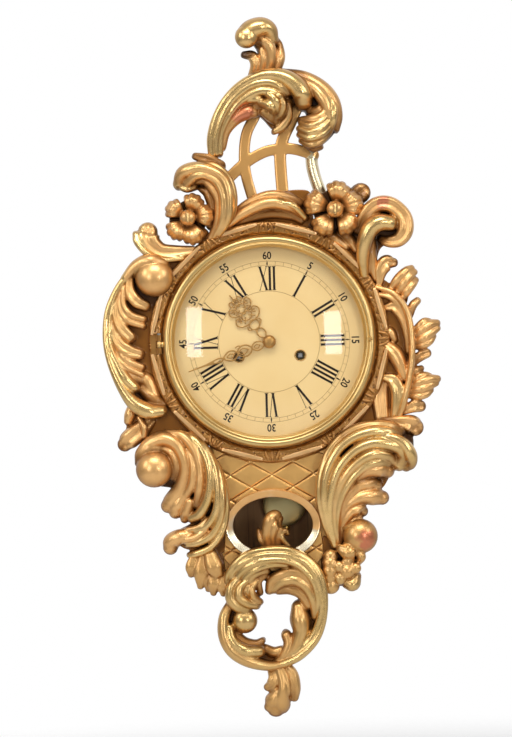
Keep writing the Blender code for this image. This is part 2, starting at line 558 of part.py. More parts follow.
def capsule(x, z0, z1, radius, sides=16):
    """A slot's outline, round at both ends, from z0 up to z1."""
    turn = math.pi / (sides / 2)
    half = sides // 2
    upper = [(x + radius * math.cos(k * turn), z1 + radius * math.sin(k * turn)) for k in range(half + 1)]
    lower = [(x - radius * math.cos(k * turn), z0 - radius * math.sin(k * turn)) for k in range(half + 1)]
    return upper + lower


def prism(outline, back, front):
    """An outline seen from the front, made solid between two depths."""
    return bridge([[spot(x, back, z) for x, z in outline], [spot(x, front, z) for x, z in outline]], False)


def box(x0, x1, back, front, z0, z1):
    return prism(rectangle(x0, x1, z0, z1), back, front)


def turned(profile, segments, x=0.0, z=0.0, oval=(0.0, 0.0)):
    """A closed profile of (radius, depth) turned about an axis towards the wall, or round an oval."""
    turn = 2 * math.pi / segments
    rings = []
    for k in range(segments):
        across, up = math.cos(k * turn), math.sin(k * turn)
        rings.append([spot(x + (oval[0] + r) * across, d, z + (oval[1] + r) * up) for r, d in profile])
    return bridge(rings, True)


def upright(x, d, radius, z0, z1, sides=10):
    """A round bar standing along z."""
    turn = 2 * math.pi / sides
    ring = [(x + radius * math.cos(k * turn), d + radius * math.sin(k * turn)) for k in range(sides)]
    return bridge([[spot(px, pd, height) for px, pd in ring] for height in (z0, z1)], False)


def shape(base, operation, tools):
    """Join tool meshes to a base, or cut them out of it."""
    if not tools:
        return base
    group = bpy.data.collections.new("tools")
    bpy.context.scene.collection.children.link(group)
    helpers = []
    for mesh in tools:
        helper = bpy.data.objects.new("tool", mesh)
        helper.hide_render = True
        helper.display_type = "WIRE"
        group.objects.link(helper)
        helpers.append(helper)
    blank = bpy.data.objects.new("blank", base)
    bpy.context.scene.collection.objects.link(blank)
    cut = blank.modifiers.new("shape", "BOOLEAN")
    cut.operation = operation
    cut.solver = "EXACT"
    cut.use_self = True
    cut.operand_type = "COLLECTION"
    cut.collection = group
    depsgraph = bpy.context.evaluated_depsgraph_get()
    result = bpy.data.meshes.new_from_object(blank.evaluated_get(depsgraph))
    for helper in helpers + [blank]:
        bpy.data.objects.remove(helper)
    bpy.data.collections.remove(group)
    return result


def joined(*meshes):
    return shape(meshes[0], "UNION", list(meshes[1:]))


def cut(base, *tools):
    return shape(base, "DIFFERENCE", list(tools))


def main_body(mesh):
    """The largest body of a mesh, without the offcuts that a cut leaves beside it."""
    bm = bmesh.new()
    bm.from_mesh(mesh)
    bmesh.ops.triangulate(bm, faces=bm.faces)
    bmesh.ops.remove_doubles(bm, verts=bm.verts, dist=MERGE * MM)
    bmesh.ops.dissolve_degenerate(bm, dist=1e-6, edges=bm.edges)
    bodies = []
    waiting = set(bm.faces)
    while waiting:
        front = [waiting.pop()]
        body = list(front)
        while front:
            beside = [edge.link_faces for edge in front.pop().edges if len(edge.link_faces) == 2]
            for face in (face for pair in beside for face in pair if face in waiting):
                waiting.remove(face)
                body.append(face)
                front.append(face)
        bodies.append(body)
    bodies.sort(key=len)
    for body in bodies[:-1]:
        bmesh.ops.delete(bm, geom=body, context="FACES")
    return closed_mesh(bm)


def is_closed(mesh):
    """Whether every edge of a mesh joins just two faces."""
    bm = bmesh.new()
    bm.from_mesh(mesh)
    closed = all(len(edge.link_faces) == 2 for edge in bm.edges)
    bm.free()
    return closed


def thinned(mesh):
    """A carved mesh with its least telling triangles collapsed, as far as it stays closed."""
    blank = bpy.data.objects.new("blank", mesh)
    bpy.context.scene.collection.objects.link(blank)
    thin = blank.modifiers.new("thin", "DECIMATE")
    for kept in CARVING_KEPT:
        thin.ratio = kept
        depsgraph = bpy.context.evaluated_depsgraph_get()
        result = bpy.data.meshes.new_from_object(blank.evaluated_get(depsgraph))
        if is_closed(result):
            break
    bpy.data.objects.remove(blank)
    return result


def add(name, mesh, material, pivot=(0.0, 0.0, 0.0)):
    """Put a finished piece in the scene, with its origin at the pivot it moves about."""
    place = spot(*pivot)
    mesh.transform(Matrix.Translation(-place))
    mesh.name = name
    mesh.materials.clear()
    mesh.materials.append(materials[material])
    mesh.shade_smooth()
    mesh.set_sharp_from_angle(angle=math.radians(35))
    piece = bpy.data.objects.new(name, mesh)
    piece.location = place
    bpy.context.scene.collection.objects.link(piece)
    return piece


def stations(points, step):
    """Places along a smooth curve through the points, with their other values blended alike."""
    ends = [points[0]] + list(points) + [points[-1]]
    places = []
    for before, here, there, after in zip(ends, ends[1:], ends[2:], ends[3:]):
        length = math.hypot(there[0] - here[0], there[1] - here[1])
        pieces = max(1, round(length / step))
        for k in range(pieces):
            t = k / pieces
            values = []
            for a, b, c, e in zip(before, here, there, after):
                bend = (2 * a - 5 * b + 4 * c - e) * t * t + (3 * b - a - 3 * c + e) * t ** 3
                values.append(0.5 * (2 * b + (c - a) * t + bend))
            places.append(values)
    places.append(list(points[-1]))
    return places


def directions(places):
    """Unit directions along a run of places."""
    headings = []
    for k in range(len(places)):
        back = places[max(k - 1, 0)]
        ahead = places[min(k + 1, len(places) - 1)]
        headings.append(Vector((ahead[0] - back[0], ahead[1] - back[1])).normalized())
    return headings


def loft(places, sections):
    """A solid along a run of places in the clock's plane, from (across, depth) sections."""
    rings = []
    for (x, z, *_), heading, section in zip(places, directions(places), sections):
        rings.append([spot(x - u * heading.y, d, z + u * heading.x) for u, d in section])
    return bridge(rings, False)


def lobe(points):
    """One carved lobe along its middle line, sunk a little in the ground. Narrow lobes come to a ridge."""
    outline = RIDGE_SECTION if max(point[2] for point in points) <= RIDGE_HALF else LOBE_SECTION
    back = BOARD_FRONT - LOBE_SINK
    places = []
    sections = []
    for x, z, half, height in stations(points, CARVING_STEP):
        places.append((x * CARVING_SCALE, z * CARVING_SCALE))
        wide, tall = half * CARVING_SCALE, LOBE_SINK + height
        sections.append([(wide * u, back + tall * v) for u, v in outline])
    return loft(places, sections)


def ball(x, z, radius, height):
    """A carved ball, half sunk in the ground."""
    back, tall = BOARD_FRONT - LOBE_SINK, LOBE_SINK + height
    profile = [(radius * CARVING_SCALE * u, back + tall * v) for u, v in BALL_PROFILE]
    return turned(profile, BALL_SIDES, x * CARVING_SCALE, z * CARVING_SCALE)


def ground(outline):
    """The solid ground behind an ornament's lobes."""
    scaled = [(x * CARVING_SCALE, z * CARVING_SCALE) for x, z in outline]
    return prism(scaled, CARVING_BACK, BOARD_FRONT + GROUND_HEIGHT)


def carved_forms(name):
    solids = [ground(outline) for outline in GROUNDS.get(name, [])]
    for form in ORNAMENTS[name]:
        solids.append(ball(*form) if isinstance(form, tuple) else lobe(form))
    return solids


def swollen(mesh):
    """A carved piece grown on all sides by the gap that its neighbours keep."""
    bm = bmesh.new()
    bm.from_mesh(mesh)
    bm.normal_update()
    for vertex in bm.verts:
        vertex.co += vertex.normal * CARVING_GAP * MM * min(vertex.calc_shell_factor(), SHARPEST)
    return closed_mesh(bm)


def reach_of(mesh):
    """Lowest and highest corner of a mesh."""
    places = [vertex.co for vertex in mesh.vertices]
    low = [min(place[k] for place in places) for k in range(3)]
    high = [max(place[k] for place in places) for k in range(3)]
    return low, high


def near(one, other):
    (low_a, high_a), (low_b, high_b) = reach_of(one), reach_of(other)
    return all(low_a[k] <= high_b[k] and low_b[k] <= high_a[k] for k in range(3))


def apron_outline(side, above, below):
    """Outline of the apron below the ring, widest under the ring and drawn in beside the aperture."""
    left, right = APERTURE_X - side, APERTURE_X + side
    low, high = APERTURE_Z - below, APERTURE_Z + above
    waist_low, waist_high = APERTURE_Z - 0.7 * below, APERTURE_Z + 0.55 * above
    return [(left - APRON_FLARE, high), (left - APRON_WAIST, waist_high), (left, APERTURE_Z),
            (left - APRON_BELLY, waist_low), (left + APRON_CORNER, low), (right - APRON_CORNER, low),
            (right + APRON_BELLY, waist_low), (right, APERTURE_Z), (right + APRON_WAIST, waist_high),
            (right + APRON_FLARE, high)]


def aperture_cutter(grow, back, front):
    turn = 2 * math.pi / 24
    wide, tall = APERTURE_HALF_WIDTH + grow, APERTURE_HALF_HEIGHT + grow
    oval = [(APERTURE_X + wide * math.cos(k * turn), APERTURE_Z + tall * math.sin(k * turn))
            for k in range(24)]
    return prism(oval, back, front)


def gear(x, z, teeth, module, phase):
    """Outline of a wheel or pinion with a tooth tip at the angle phase."""
    radius = teeth * module / 2
    outline = []
    for k in range(teeth):
        angle = phase + 2 * math.pi * k / teeth
        root = angle - math.pi / teeth
        low, high = radius - DEDENDUM * module, radius + ADDENDUM * module
        outline.append((x + low * math.cos(root), z + low * math.sin(root)))
        outline.append((x + high * math.cos(angle), z + high * math.sin(angle)))
    return outline


def meshed(phase, teeth, mate_teeth, direction):
    """Phase of the mate that lies in a direction, so that its gap faces the wheel's tooth."""
    return direction + math.pi + math.pi / mate_teeth + (direction - phase) * teeth / mate_teeth


def build_case():
    trunk_low = APERTURE_Z - TRUNK_BELOW_APERTURE
    outer, inner = TRUNK_HALF + TRUNK_WALL, TRUNK_HALF
    drum = prism(circle(0, 0, CASE_RADIUS, ROUND_SIDES), CASE_BACK, CASE_FRONT)
    trunk = box(-outer, outer, CASE_BACK, CASE_FRONT, trunk_low - TRUNK_WALL, 0)
    drum_space = prism(circle(0, 0, CASE_INNER, ROUND_SIDES), 0, BOARD_FRONT)
    trunk_space = box(-inner, inner, 0, BOARD_FRONT, trunk_low, 0)
    add("case_box", main_body(cut(joined(drum, trunk), drum_space, trunk_space)), "pine")

    drum_back = prism(circle(0, 0, CASE_RADIUS, ROUND_SIDES), 0, BACK_THICK)
    trunk_back = box(-outer, outer, 0, BACK_THICK, trunk_low - TRUNK_WALL, 0)
    nail_way = prism(capsule(0, HANGER_HEIGHT - KEYHOLE_RISE / 2, HANGER_HEIGHT + KEYHOLE_RISE / 2,
                             NAIL_HEAD + KEYHOLE_MARGIN), -GAP, BACK_THICK + GAP)
    add("back_cover", main_body(cut(joined(drum_back, trunk_back), nail_way)), "pine")

    half, low = HANGER_WIDTH / 2, HANGER_HEIGHT - HANGER_LENGTH / 2
    plate = box(-half, half, CASE_BACK, CASE_BACK + HANGER_THICK, low, low + HANGER_LENGTH)
    head = prism(circle(0, HANGER_HEIGHT - KEYHOLE_RISE / 2, NAIL_HEAD), 0, CASE_FRONT)
    shank = prism(capsule(0, HANGER_HEIGHT - KEYHOLE_RISE / 2, HANGER_HEIGHT + KEYHOLE_RISE / 2,
                          NAIL_SHANK), 0, CASE_FRONT)
    add("hanger_plate", main_body(cut(plate, head, shank)), "steel")


def build_board():
    """The flat ground that everything is fixed to, and the trellis panel with its aperture."""
    disc = prism(circle(0, 0, BOARD_RADIUS, ROUND_SIDES), BOARD_BACK, BOARD_FRONT)
    apron = prism(apron_outline(BOARD_SIDE, BOARD_ABOVE, BOARD_BELOW), BOARD_BACK, BOARD_FRONT)
    opening = prism(circle(0, 0, BOARD_HOLE, ROUND_SIDES), CASE_BACK, BEZEL_FRONT)
    aperture = aperture_cutter(1.0, CASE_BACK, BEZEL_FRONT)
    add("ground_board", main_body(cut(joined(disc, apron), opening, aperture)), "ground_gold")

    panel = prism(apron_outline(PANEL_SIDE, PANEL_ABOVE, PANEL_BELOW), SEAT, PANEL_FRONT)
    ring_space = prism(circle(0, 0, RING_OUTER + GAP, ROUND_SIDES), CASE_BACK, BEZEL_FRONT)
    add("apron_panel", main_body(cut(panel, ring_space, aperture)), "matte_gold")

    back, front = PANEL_FRONT + GAP, PANEL_FRONT + GAP + RIM_DEPTH
    profile = [(0, back), (0, front - 2.5), (2, front), (RIM_WIDTH - 2, front), (RIM_WIDTH, front - 3),
               (RIM_WIDTH, back)]
    rim = turned(profile, 24, APERTURE_X, APERTURE_Z, (APERTURE_HALF_WIDTH, APERTURE_HALF_HEIGHT))
    add("aperture_rim", rim, "burnished_gold")


def build_ring():
    """The band round the bezel, with straight reeds laid along it."""
    outer, inner, front = RING_OUTER, RING_INNER, RING_FRONT
    band = turned([(inner, SEAT), (inner, front - 2), (inner + 2.5, front - 1.2), (outer - 1.5, front),
                   (outer, front - 2), (outer, SEAT)], ROUND_SIDES)
    reeds = []
    middle = outer - REED_RADIUS - 1.5
    for k in range(REED_COUNT):
        angle = 2 * math.pi * (k + 0.5) / REED_COUNT
        half = middle * math.sin(REED_ARC / 2)
        across = Vector((-math.sin(angle), math.cos(angle)))
        centre = Vector((math.cos(angle), math.sin(angle))) * middle * math.cos(REED_ARC / 2)
        rings = []
        for along in (-half, half):
            place = centre + across * along
            ring = []
            for u, v in LOBE_SECTION:
                out = REED_RADIUS * u
                ring.append(spot(place.x + out * math.cos(angle), front - 1 + (REED_RADIUS + 1) * v,
                                 place.y + out * math.sin(angle)))
            rings.append(ring)
        reeds.append(bridge(rings, False))
    add("carved_ring", main_body(joined(band, *reeds)), "matte_gold")


def build_lattice(cutters):
    bars = []
    back, front = CARVING_BACK, CARVING_BACK + LATTICE_THICK
    section = [(LATTICE_HALF, back), (LATTICE_HALF, front), (-LATTICE_HALF, front), (-LATTICE_HALF, back)]
    for points in LATTICE_BARS:
        places = [(x * CARVING_SCALE, z * CARVING_SCALE) for x, z in stations(points, CARVING_STEP)]
        bars.append(loft(places, [section] * len(places)))
    mesh = joined(*bars)
    mesh = cut(mesh, *[tool for tool in cutters if near(tool, mesh)])
    add("crest_lattice", main_body(mesh), "matte_gold")


def build_carving():
    """The applied carving. Each ornament is cut back to clear the board, the ring and those over it."""
    ring_space = prism(circle(0, 0, RING_OUTER + GAP, ROUND_SIDES), 0, 2 * BEZEL_FRONT)
    disc = prism(circle(0, 0, BOARD_RADIUS + GAP, ROUND_SIDES), 0, SEAT)
    apron = prism(apron_outline(BOARD_SIDE + GAP, BOARD_ABOVE + GAP, BOARD_BELOW + GAP), 0, SEAT)
    panel = prism(apron_outline(PANEL_SIDE + GAP, PANEL_ABOVE + GAP, PANEL_BELOW + GAP), 0, PANEL_FRONT + GAP)
    oval = (APERTURE_HALF_WIDTH - GAP, APERTURE_HALF_HEIGHT - GAP)
    rim_front = PANEL_FRONT + 2 * GAP + RIM_DEPTH
    rim_wide = RIM_WIDTH + 2 * GAP
    rim = turned([(0, SEAT), (0, rim_front), (rim_wide, rim_front), (rim_wide, SEAT)], 24,
                 APERTURE_X, APERTURE_Z, oval)
    cutters = [ring_space, disc, apron, panel, rim]
    for name in ORNAMENTS:
        mesh = thinned(main_body(joined(*carved_forms(name))))
        piece = main_body(cut(mesh, *[tool for tool in cutters if near(tool, mesh)]))
        add(name, piece, "burnished_gold")
        cutters.append(swollen(piece))
    build_lattice(cutters)


def build_dial():
    dial = prism(circle(0, 0, DIAL_RADIUS, ROUND_SIDES), SEAT, DIAL_FRONT)
    holes = [prism(circle(0, 0, DIAL_CENTRE_HOLE, 12), 0, BEZEL_FRONT)]
    for x in (-BARREL_X, BARREL_X):
        holes.append(prism(circle(x, -BARREL_DROP, WINDING_HOLE, 12), 0, BEZEL_FRONT))
    add("dial_plate", main_body(cut(dial, *holes)), "dial_cream")


def build_bezel():
    """The glazed door: moulded ring, domed glass, pull, and the hinge on its left."""
    outer, sight, front = BEZEL_RADIUS, BEZEL_SIGHT, BEZEL_FRONT
    pivot = (HINGE_X, HINGE_D, 0.0)
    lip = front - BEZEL_LIP_DEPTH
    rebate = BEZEL_REBATE
    moulding = [(outer - inset, front - drop) for inset, drop in BEZEL_MOULDING]
    seat = [(sight, lip + BEZEL_LIP_THICK), (sight, lip), (rebate, lip), (rebate, SEAT)]
    ring = turned([(outer, SEAT)] + moulding + seat, ROUND_SIDES)
    half = KNUCKLE_LENGTH / 2
    knuckle = upright(HINGE_X, HINGE_D, KNUCKLE_RADIUS, -half, half)
    lug = box(HINGE_X, -outer + 3.5, HINGE_D - KNUCKLE_RADIUS + 0.6, HINGE_D + 0.5, -half, half)
    bore = upright(HINGE_X, HINGE_D, HINGE_PIN_RADIUS + GAP, -6 * half, 6 * half)
    add("bezel_ring", main_body(cut(joined(ring, knuckle, lug), bore)), "gilt_brass", pivot)

    edge_front = lip - GAP
    edge_back = edge_front - GLASS_THICK
    dome = sight - GAP
    profile = [(rebate - GAP, edge_back), (rebate - GAP, edge_front), (dome, edge_front)]
    steps = 3
    curve = (dome ** 2 + GLASS_RISE ** 2) / (2 * GLASS_RISE)
    outside, inside = [], []
    for k in range(1, steps + 1):
        radius = dome * (1 - k / steps)
        rise = math.sqrt(curve ** 2 - radius ** 2) - (curve - GLASS_RISE)
        outside.append((radius, edge_front + rise))
        inside.append((radius, edge_back + rise))
    profile += outside + inside[::-1] + [(dome - 1.0, edge_back)]
    add("bezel_glass", turned(profile, ROUND_SIDES), "glass", pivot)

    seat = front + GAP
    at = outer - PULL_INSET
    pull = turned([(0, seat), (PULL_RADIUS * 0.7, seat), (PULL_RADIUS * 0.6, seat + PULL_HEIGHT * 0.4),
                   (PULL_RADIUS, seat + PULL_HEIGHT * 0.6), (PULL_RADIUS * 0.6, seat + PULL_HEIGHT),
                   (0, seat + PULL_HEIGHT)], 12, at, 0.0)
    add("bezel_pull", pull, "gilt_brass", pivot)

    inner_end = half + GAP
    outer_end = half + GAP + KNUCKLE_LENGTH
    leaf_back = RING_FRONT + GAP
    leaf = box(HINGE_X - HINGE_LEAF_WIDTH, HINGE_X, leaf_back, leaf_back + HINGE_LEAF, -outer_end, outer_end)
    clear_lug = box(HINGE_X - KNUCKLE_RADIUS - 2 * GAP, 0, 0, 2 * front, -inner_end, inner_end)
    solids = []
    for low, high in ((-outer_end, -inner_end), (inner_end, outer_end)):
        solids.append(upright(HINGE_X, HINGE_D, KNUCKLE_RADIUS, low, high))
        solids.append(box(HINGE_X - KNUCKLE_RADIUS, HINGE_X, leaf_back, HINGE_D, low, high))
    add("hinge_bracket", main_body(cut(joined(leaf, *solids), clear_lug, bore)), "gilt_brass")

    pin = upright(HINGE_X, HINGE_D, HINGE_PIN_RADIUS, -outer_end - GAP, outer_end + GAP + 0.5)
    head = upright(HINGE_X, HINGE_D, KNUCKLE_RADIUS * 0.8, outer_end + GAP, outer_end + GAP + 1.6)
    add("hinge_pin", joined(pin, head), "gilt_brass")


def hand_eye(x, z, half_width, half_length, back, inset):
    """A pierced oval in a hand, a hair thinner than the piece that it grows out of."""
    low, high = back + inset, back + HAND_THICK - inset
    profile = [(-HAND_BAND, low), (-HAND_BAND, high), (0, high), (0, low)]
    return turned(profile, 8, x, z, (half_width, half_length))


def hand_hub(bore, back):
    outer = bore + HUB_WALL
    return turned([(bore, back), (bore, back + HAND_THICK), (outer, back + HAND_THICK), (outer, back)], 16)


def turn_hand(mesh, angle):
    mesh.transform(Matrix.Rotation(angle, 4, "Y"))
    return mesh


def pierced_hand(bore, reach, back, eyes, blade_from):
    """A hand pointing up: hub, pierced eyes one above the other, and a tapering blade."""
    low = reach * blade_from
    blade = [(-BLADE_HALF, low), (-POINT_HALF, reach), (POINT_HALF, reach), (BLADE_HALF, low)]
    solids = [hand_hub(bore, back), prism(blade, back, back + HAND_THICK)]
    for k, shares in enumerate(eyes):
        x, z, half_width, half_length = [reach * share for share in shares]
        solids.append(hand_eye(x, z, half_width, half_length, back, HAIR * (k + 1)))
    return main_body(joined(*solids))


def build_hands():
    minute = pierced_hand(CANNON_RADIUS + GAP, MINUTE_LENGTH, MINUTE_HAND_BACK, MINUTE_EYES, MINUTE_BLADE_FROM)
    add("minute_hand", turn_hand(minute, MINUTE_ANGLE), "gilt_brass")
    hour = pierced_hand(HOUR_PIPE_RADIUS + GAP, HOUR_LENGTH, HOUR_HAND_BACK, HOUR_EYES, HOUR_BLADE_FROM)
    add("hour_hand", turn_hand(hour, HOUR_ANGLE), "gilt_brass")

    back = HAND_NUT_BACK
    nut = turned([(0, back), (NUT_RADIUS, back), (NUT_RADIUS, back + 0.3 * NUT_HEIGHT),
                  (NUT_RADIUS * 0.75, back + 0.75 * NUT_HEIGHT), (0, back + NUT_HEIGHT)], 16)
    add("hand_nut", nut, "gilt_brass")


def build_plates():
    """Movement plates, their pillars, and the straps that hold the movement to the board."""
    through = (0, 2 * BEZEL_FRONT)
    pivots = [prism(circle(0, z, PIVOT_RADIUS + GAP, 6), *through) for z in (THIRD_Z, ESCAPE_Z, ANCHOR_Z)]
    pivots.append(prism(circle(*HAMMER_PIVOT, PIVOT_RADIUS + GAP, 6), *through))
    pivots.append(prism(circle(0, 0, SHAFT_RADIUS + GAP, 8), *through))
    for x in (-BARREL_X, BARREL_X):
        pivots.append(prism(circle(x, -BARREL_DROP, WINDING_RADIUS + GAP, 8), *through))

    front = prism(circle(0, 0, PLATE_RADIUS, ROUND_SIDES), FRONT_PLATE_BACK, FRONT_PLATE_FRONT)
    stud = prism(circle(MINUTE_WHEEL_X, MINUTE_WHEEL_Z, SHAFT_RADIUS, 8), FRONT_PLATE_BACK + 0.5,
                 STUD_FRONT)
    add("front_plate", main_body(joined(cut(front, *pivots), stud)), "brass")

    back = prism(circle(0, 0, PLATE_RADIUS, ROUND_SIDES), BACK_PLATE_BACK, BACK_PLATE_FRONT)
    pillars = []
    reach = PLATE_RADIUS - PILLAR_INSET
    for degrees in (49, 131, 256, 284):
        angle = math.radians(degrees)
        pillars.append(prism(circle(reach * math.cos(angle), reach * math.sin(angle), PILLAR_RADIUS, 8),
                             BACK_PLATE_BACK + 0.5, FRONT_PLATE_BACK - GAP))
    add("back_plate", main_body(joined(cut(back, *pivots), *pillars)), "brass")

    half = STRAP_WIDTH / 2
    reach = math.sqrt((CASE_INNER - 1) ** 2 - (STRAP_HEIGHT + half) ** 2)
    for name, z in (("upper_strap", STRAP_HEIGHT), ("lower_strap", -STRAP_HEIGHT)):
        strap = box(-reach, reach, STRAP_BACK, STRAP_BACK + STRAP_THICK, z - half, z + half)
        add(name, cut(strap, *[tool for tool in pivots if near(tool, strap)]), "steel")


def build_barrels():
    """The going barrel drives the centre pinion. The strike barrel stands clear in front of that pinion."""
    behind_pinion = BACK_PLATE_FRONT + 2 * GAP
    before_pinion = BACK_PLATE_FRONT + 2 * GAP + PINION_LENGTH
    for name, x, great_back in (("time", BARREL_X, behind_pinion), ("strike", -BARREL_X, before_pinion)):
        z = -BARREL_DROP
        great_front = great_back + GREAT_THICK
        drum_front = great_front + BARREL_DEPTH
        phase = meshed(math.radians(90), CENTRE_PINION, GREAT_TEETH, math.atan2(z, x))
        wheel = prism(gear(x, z, GREAT_TEETH, GREAT_MODULE, phase), great_back, great_front)
        drum = prism(circle(x, z, BARREL_RADIUS, 24), great_front - 0.5, drum_front)
        bore = prism(circle(x, z, WINDING_RADIUS + GAP, 8), 0, 2 * BEZEL_FRONT)
        add(name + "_barrel", main_body(cut(joined(wheel, drum), bore)), "brass", (x, 0.0, z))

        shaft = prism(circle(x, z, WINDING_RADIUS, 8), BACK_PLATE_BACK + GAP, FRONT_PLATE_FRONT)
        half = WINDING_SQUARE
        end = box(x - half, x + half, FRONT_PLATE_FRONT - 1, BOARD_FRONT, z - half, z + half)
        add(name + "_winding_arbor", joined(shaft, end), "steel", (x, 0.0, z))


def build_train():
    """Centre, third and escape arbors standing one above the other, with anchor and crutch."""
    low = BACK_PLATE_BACK + GAP
    pinion_back = BACK_PLATE_FRONT + GAP
    high = FRONT_PLATE_FRONT - GAP
    up = math.radians(90)

    centre_phase = up
    wheel_back = FRONT_PLATE_BACK - WHEEL_THICK - CENTRE_WHEEL_STEP
    shaft = prism(circle(0, 0, SHAFT_RADIUS, 8), low, MINUTE_HAND_BACK + HAND_THICK)
    pinion = prism(gear(0, 0, CENTRE_PINION, GREAT_MODULE, up), pinion_back, pinion_back + PINION_LENGTH)
    wheel = prism(gear(0, 0, CENTRE_TEETH, CENTRE_MODULE, centre_phase), wheel_back, wheel_back + WHEEL_THICK)
    add("centre_arbor", joined(shaft, pinion, wheel), "brass")

    third_phase = meshed(centre_phase, CENTRE_TEETH, THIRD_PINION, up)
    third_back = BACK_PLATE_FRONT + THIRD_WHEEL_STEP
    shaft = prism(circle(0, THIRD_Z, PIVOT_RADIUS, 6), low, high)
    pinion = prism(gear(0, THIRD_Z, THIRD_PINION, CENTRE_MODULE, third_phase), wheel_back - 1,
                   wheel_back + WHEEL_THICK + 1)
    wheel = prism(gear(0, THIRD_Z, THIRD_TEETH, THIRD_MODULE, third_phase), third_back,
                  third_back + WHEEL_THICK)
    add("third_wheel", joined(shaft, pinion, wheel), "brass", (0.0, 0.0, THIRD_Z))

    escape_phase = meshed(third_phase, THIRD_TEETH, ESCAPE_PINION, up)
    escape_back = third_back + WHEEL_THICK + ESCAPE_WHEEL_STEP
    shaft = prism(circle(0, ESCAPE_Z, PIVOT_RADIUS, 6), low, high)
    pinion = prism(gear(0, ESCAPE_Z, ESCAPE_PINION, THIRD_MODULE, escape_phase), third_back - 1,
                   third_back + WHEEL_THICK + 1)
    teeth = []
    for k in range(ESCAPE_TEETH):
        angle = 2 * math.pi * k / ESCAPE_TEETH
        lean = angle - 0.5 * math.pi / ESCAPE_TEETH
        for radius, at in ((ESCAPE_RADIUS - 2.6, lean), (ESCAPE_RADIUS, angle)):
            teeth.append((radius * math.cos(at), ESCAPE_Z + radius * math.sin(at)))
    wheel = prism(teeth, escape_back, escape_back + WHEEL_THICK)
    add("escape_wheel", joined(shaft, pinion, wheel), "brass", (0.0, 0.0, ESCAPE_Z))

    build_anchor(escape_back, high)


def swung(mesh):
    """Turn a hanging piece about the suspension to where the photograph catches the pendulum."""
    about = Matrix.Translation(spot(0, 0, ANCHOR_Z))
    mesh.transform(about @ Matrix.Rotation(-SWING, 4, "Y") @ about.inverted())
    return mesh


def build_anchor(back, high):
    top = ANCHOR_Z
    right = [(5.0, 2.0), (11.5, -3.0), (13.4, -8.4), (11.2, -7.8), (8.8, -3.8), (3.5, -2.2)]
    left = [(-x, z) for x, z in reversed(right)]
    outline = [(x, top + z) for x, z in [(0.0, 3.0)] + right + left]
    crown = prism(outline, back, back + WHEEL_THICK)
    crutch_front = BACK_PLATE_BACK - GAP
    crutch_back = crutch_front - CRUTCH_THICK
    arbor = prism(circle(0, top, PIVOT_RADIUS, 6), crutch_back, high)
    fork_low = top - CRUTCH_LENGTH
    fork_top = fork_low + FORK_HEIGHT
    clear = ROD_RADIUS + GAP
    arm = box(-CRUTCH_HALF, CRUTCH_HALF, crutch_back, crutch_front, fork_low, top)
    yoke = box(-clear - FORK_WALL, clear + FORK_WALL, crutch_back, crutch_front, fork_low, fork_top)
    prong_back, prong_front = PENDULUM_D - ROD_RADIUS - 1, crutch_back + 0.5
    prongs = [box(x, x + FORK_WALL, prong_back, prong_front, fork_low, fork_top)
              for x in (-clear - FORK_WALL, clear)]
    add("anchor", swung(main_body(joined(arbor, crown, arm, yoke, *prongs))), "steel", (0.0, 0.0, top))


def build_motion_work():
    """Cannon pinion, minute wheel and hour wheel, in front of the front plate."""
    teeth_back, teeth_front = MOTION_BACK, MOTION_FRONT
    up = math.radians(90)
    x, z = MINUTE_WHEEL_X, MINUTE_WHEEL_Z
    bore = prism(circle(0, 0, SHAFT_RADIUS + GAP, 8), 0, 2 * BEZEL_FRONT)
    tube = prism(circle(0, 0, CANNON_RADIUS, 16), FRONT_PLATE_FRONT + GAP, MINUTE_HAND_BACK + HAND_THICK)
    leaves = prism(gear(0, 0, CANNON_TEETH, CANNON_MODULE, up), teeth_back, teeth_front)
    add("cannon_pinion", main_body(cut(joined(tube, leaves), bore)), "brass")

    phase = meshed(up, CANNON_TEETH, MINUTE_TEETH, MINUTE_WHEEL_DIRECTION)
    pinion_front = teeth_front + PINION_LENGTH
    wheel = prism(gear(x, z, MINUTE_TEETH, CANNON_MODULE, phase), teeth_back + 0.5, teeth_front - 0.5)
    leaves = prism(gear(x, z, MINUTE_PINION, HOUR_MODULE, phase), teeth_front - 1, pinion_front)
    hub = prism(circle(x, z, SHAFT_RADIUS + 1.4, 14), FRONT_PLATE_FRONT + GAP, teeth_back + 1)
    bore = prism(circle(x, z, SHAFT_RADIUS + GAP, 8), 0, 2 * BEZEL_FRONT)
    add("minute_wheel", main_body(cut(joined(wheel, leaves, hub), bore)), "brass", (x, 0.0, z))

    toward_centre = MINUTE_WHEEL_DIRECTION + math.pi
    phase = meshed(phase, MINUTE_PINION, HOUR_TEETH, toward_centre)
    wheel_back = teeth_front + GAP + 0.6
    wheel = prism(gear(0, 0, HOUR_TEETH, HOUR_MODULE, phase), wheel_back, wheel_back + WHEEL_THICK)
    pipe = prism(circle(0, 0, HOUR_PIPE_RADIUS, 18), wheel_back, HOUR_HAND_BACK + HAND_THICK)
    bore = prism(circle(0, 0, CANNON_RADIUS + GAP, 16), 0, 2 * BEZEL_FRONT)
    add("hour_wheel", main_body(cut(joined(wheel, pipe), bore)), "brass")


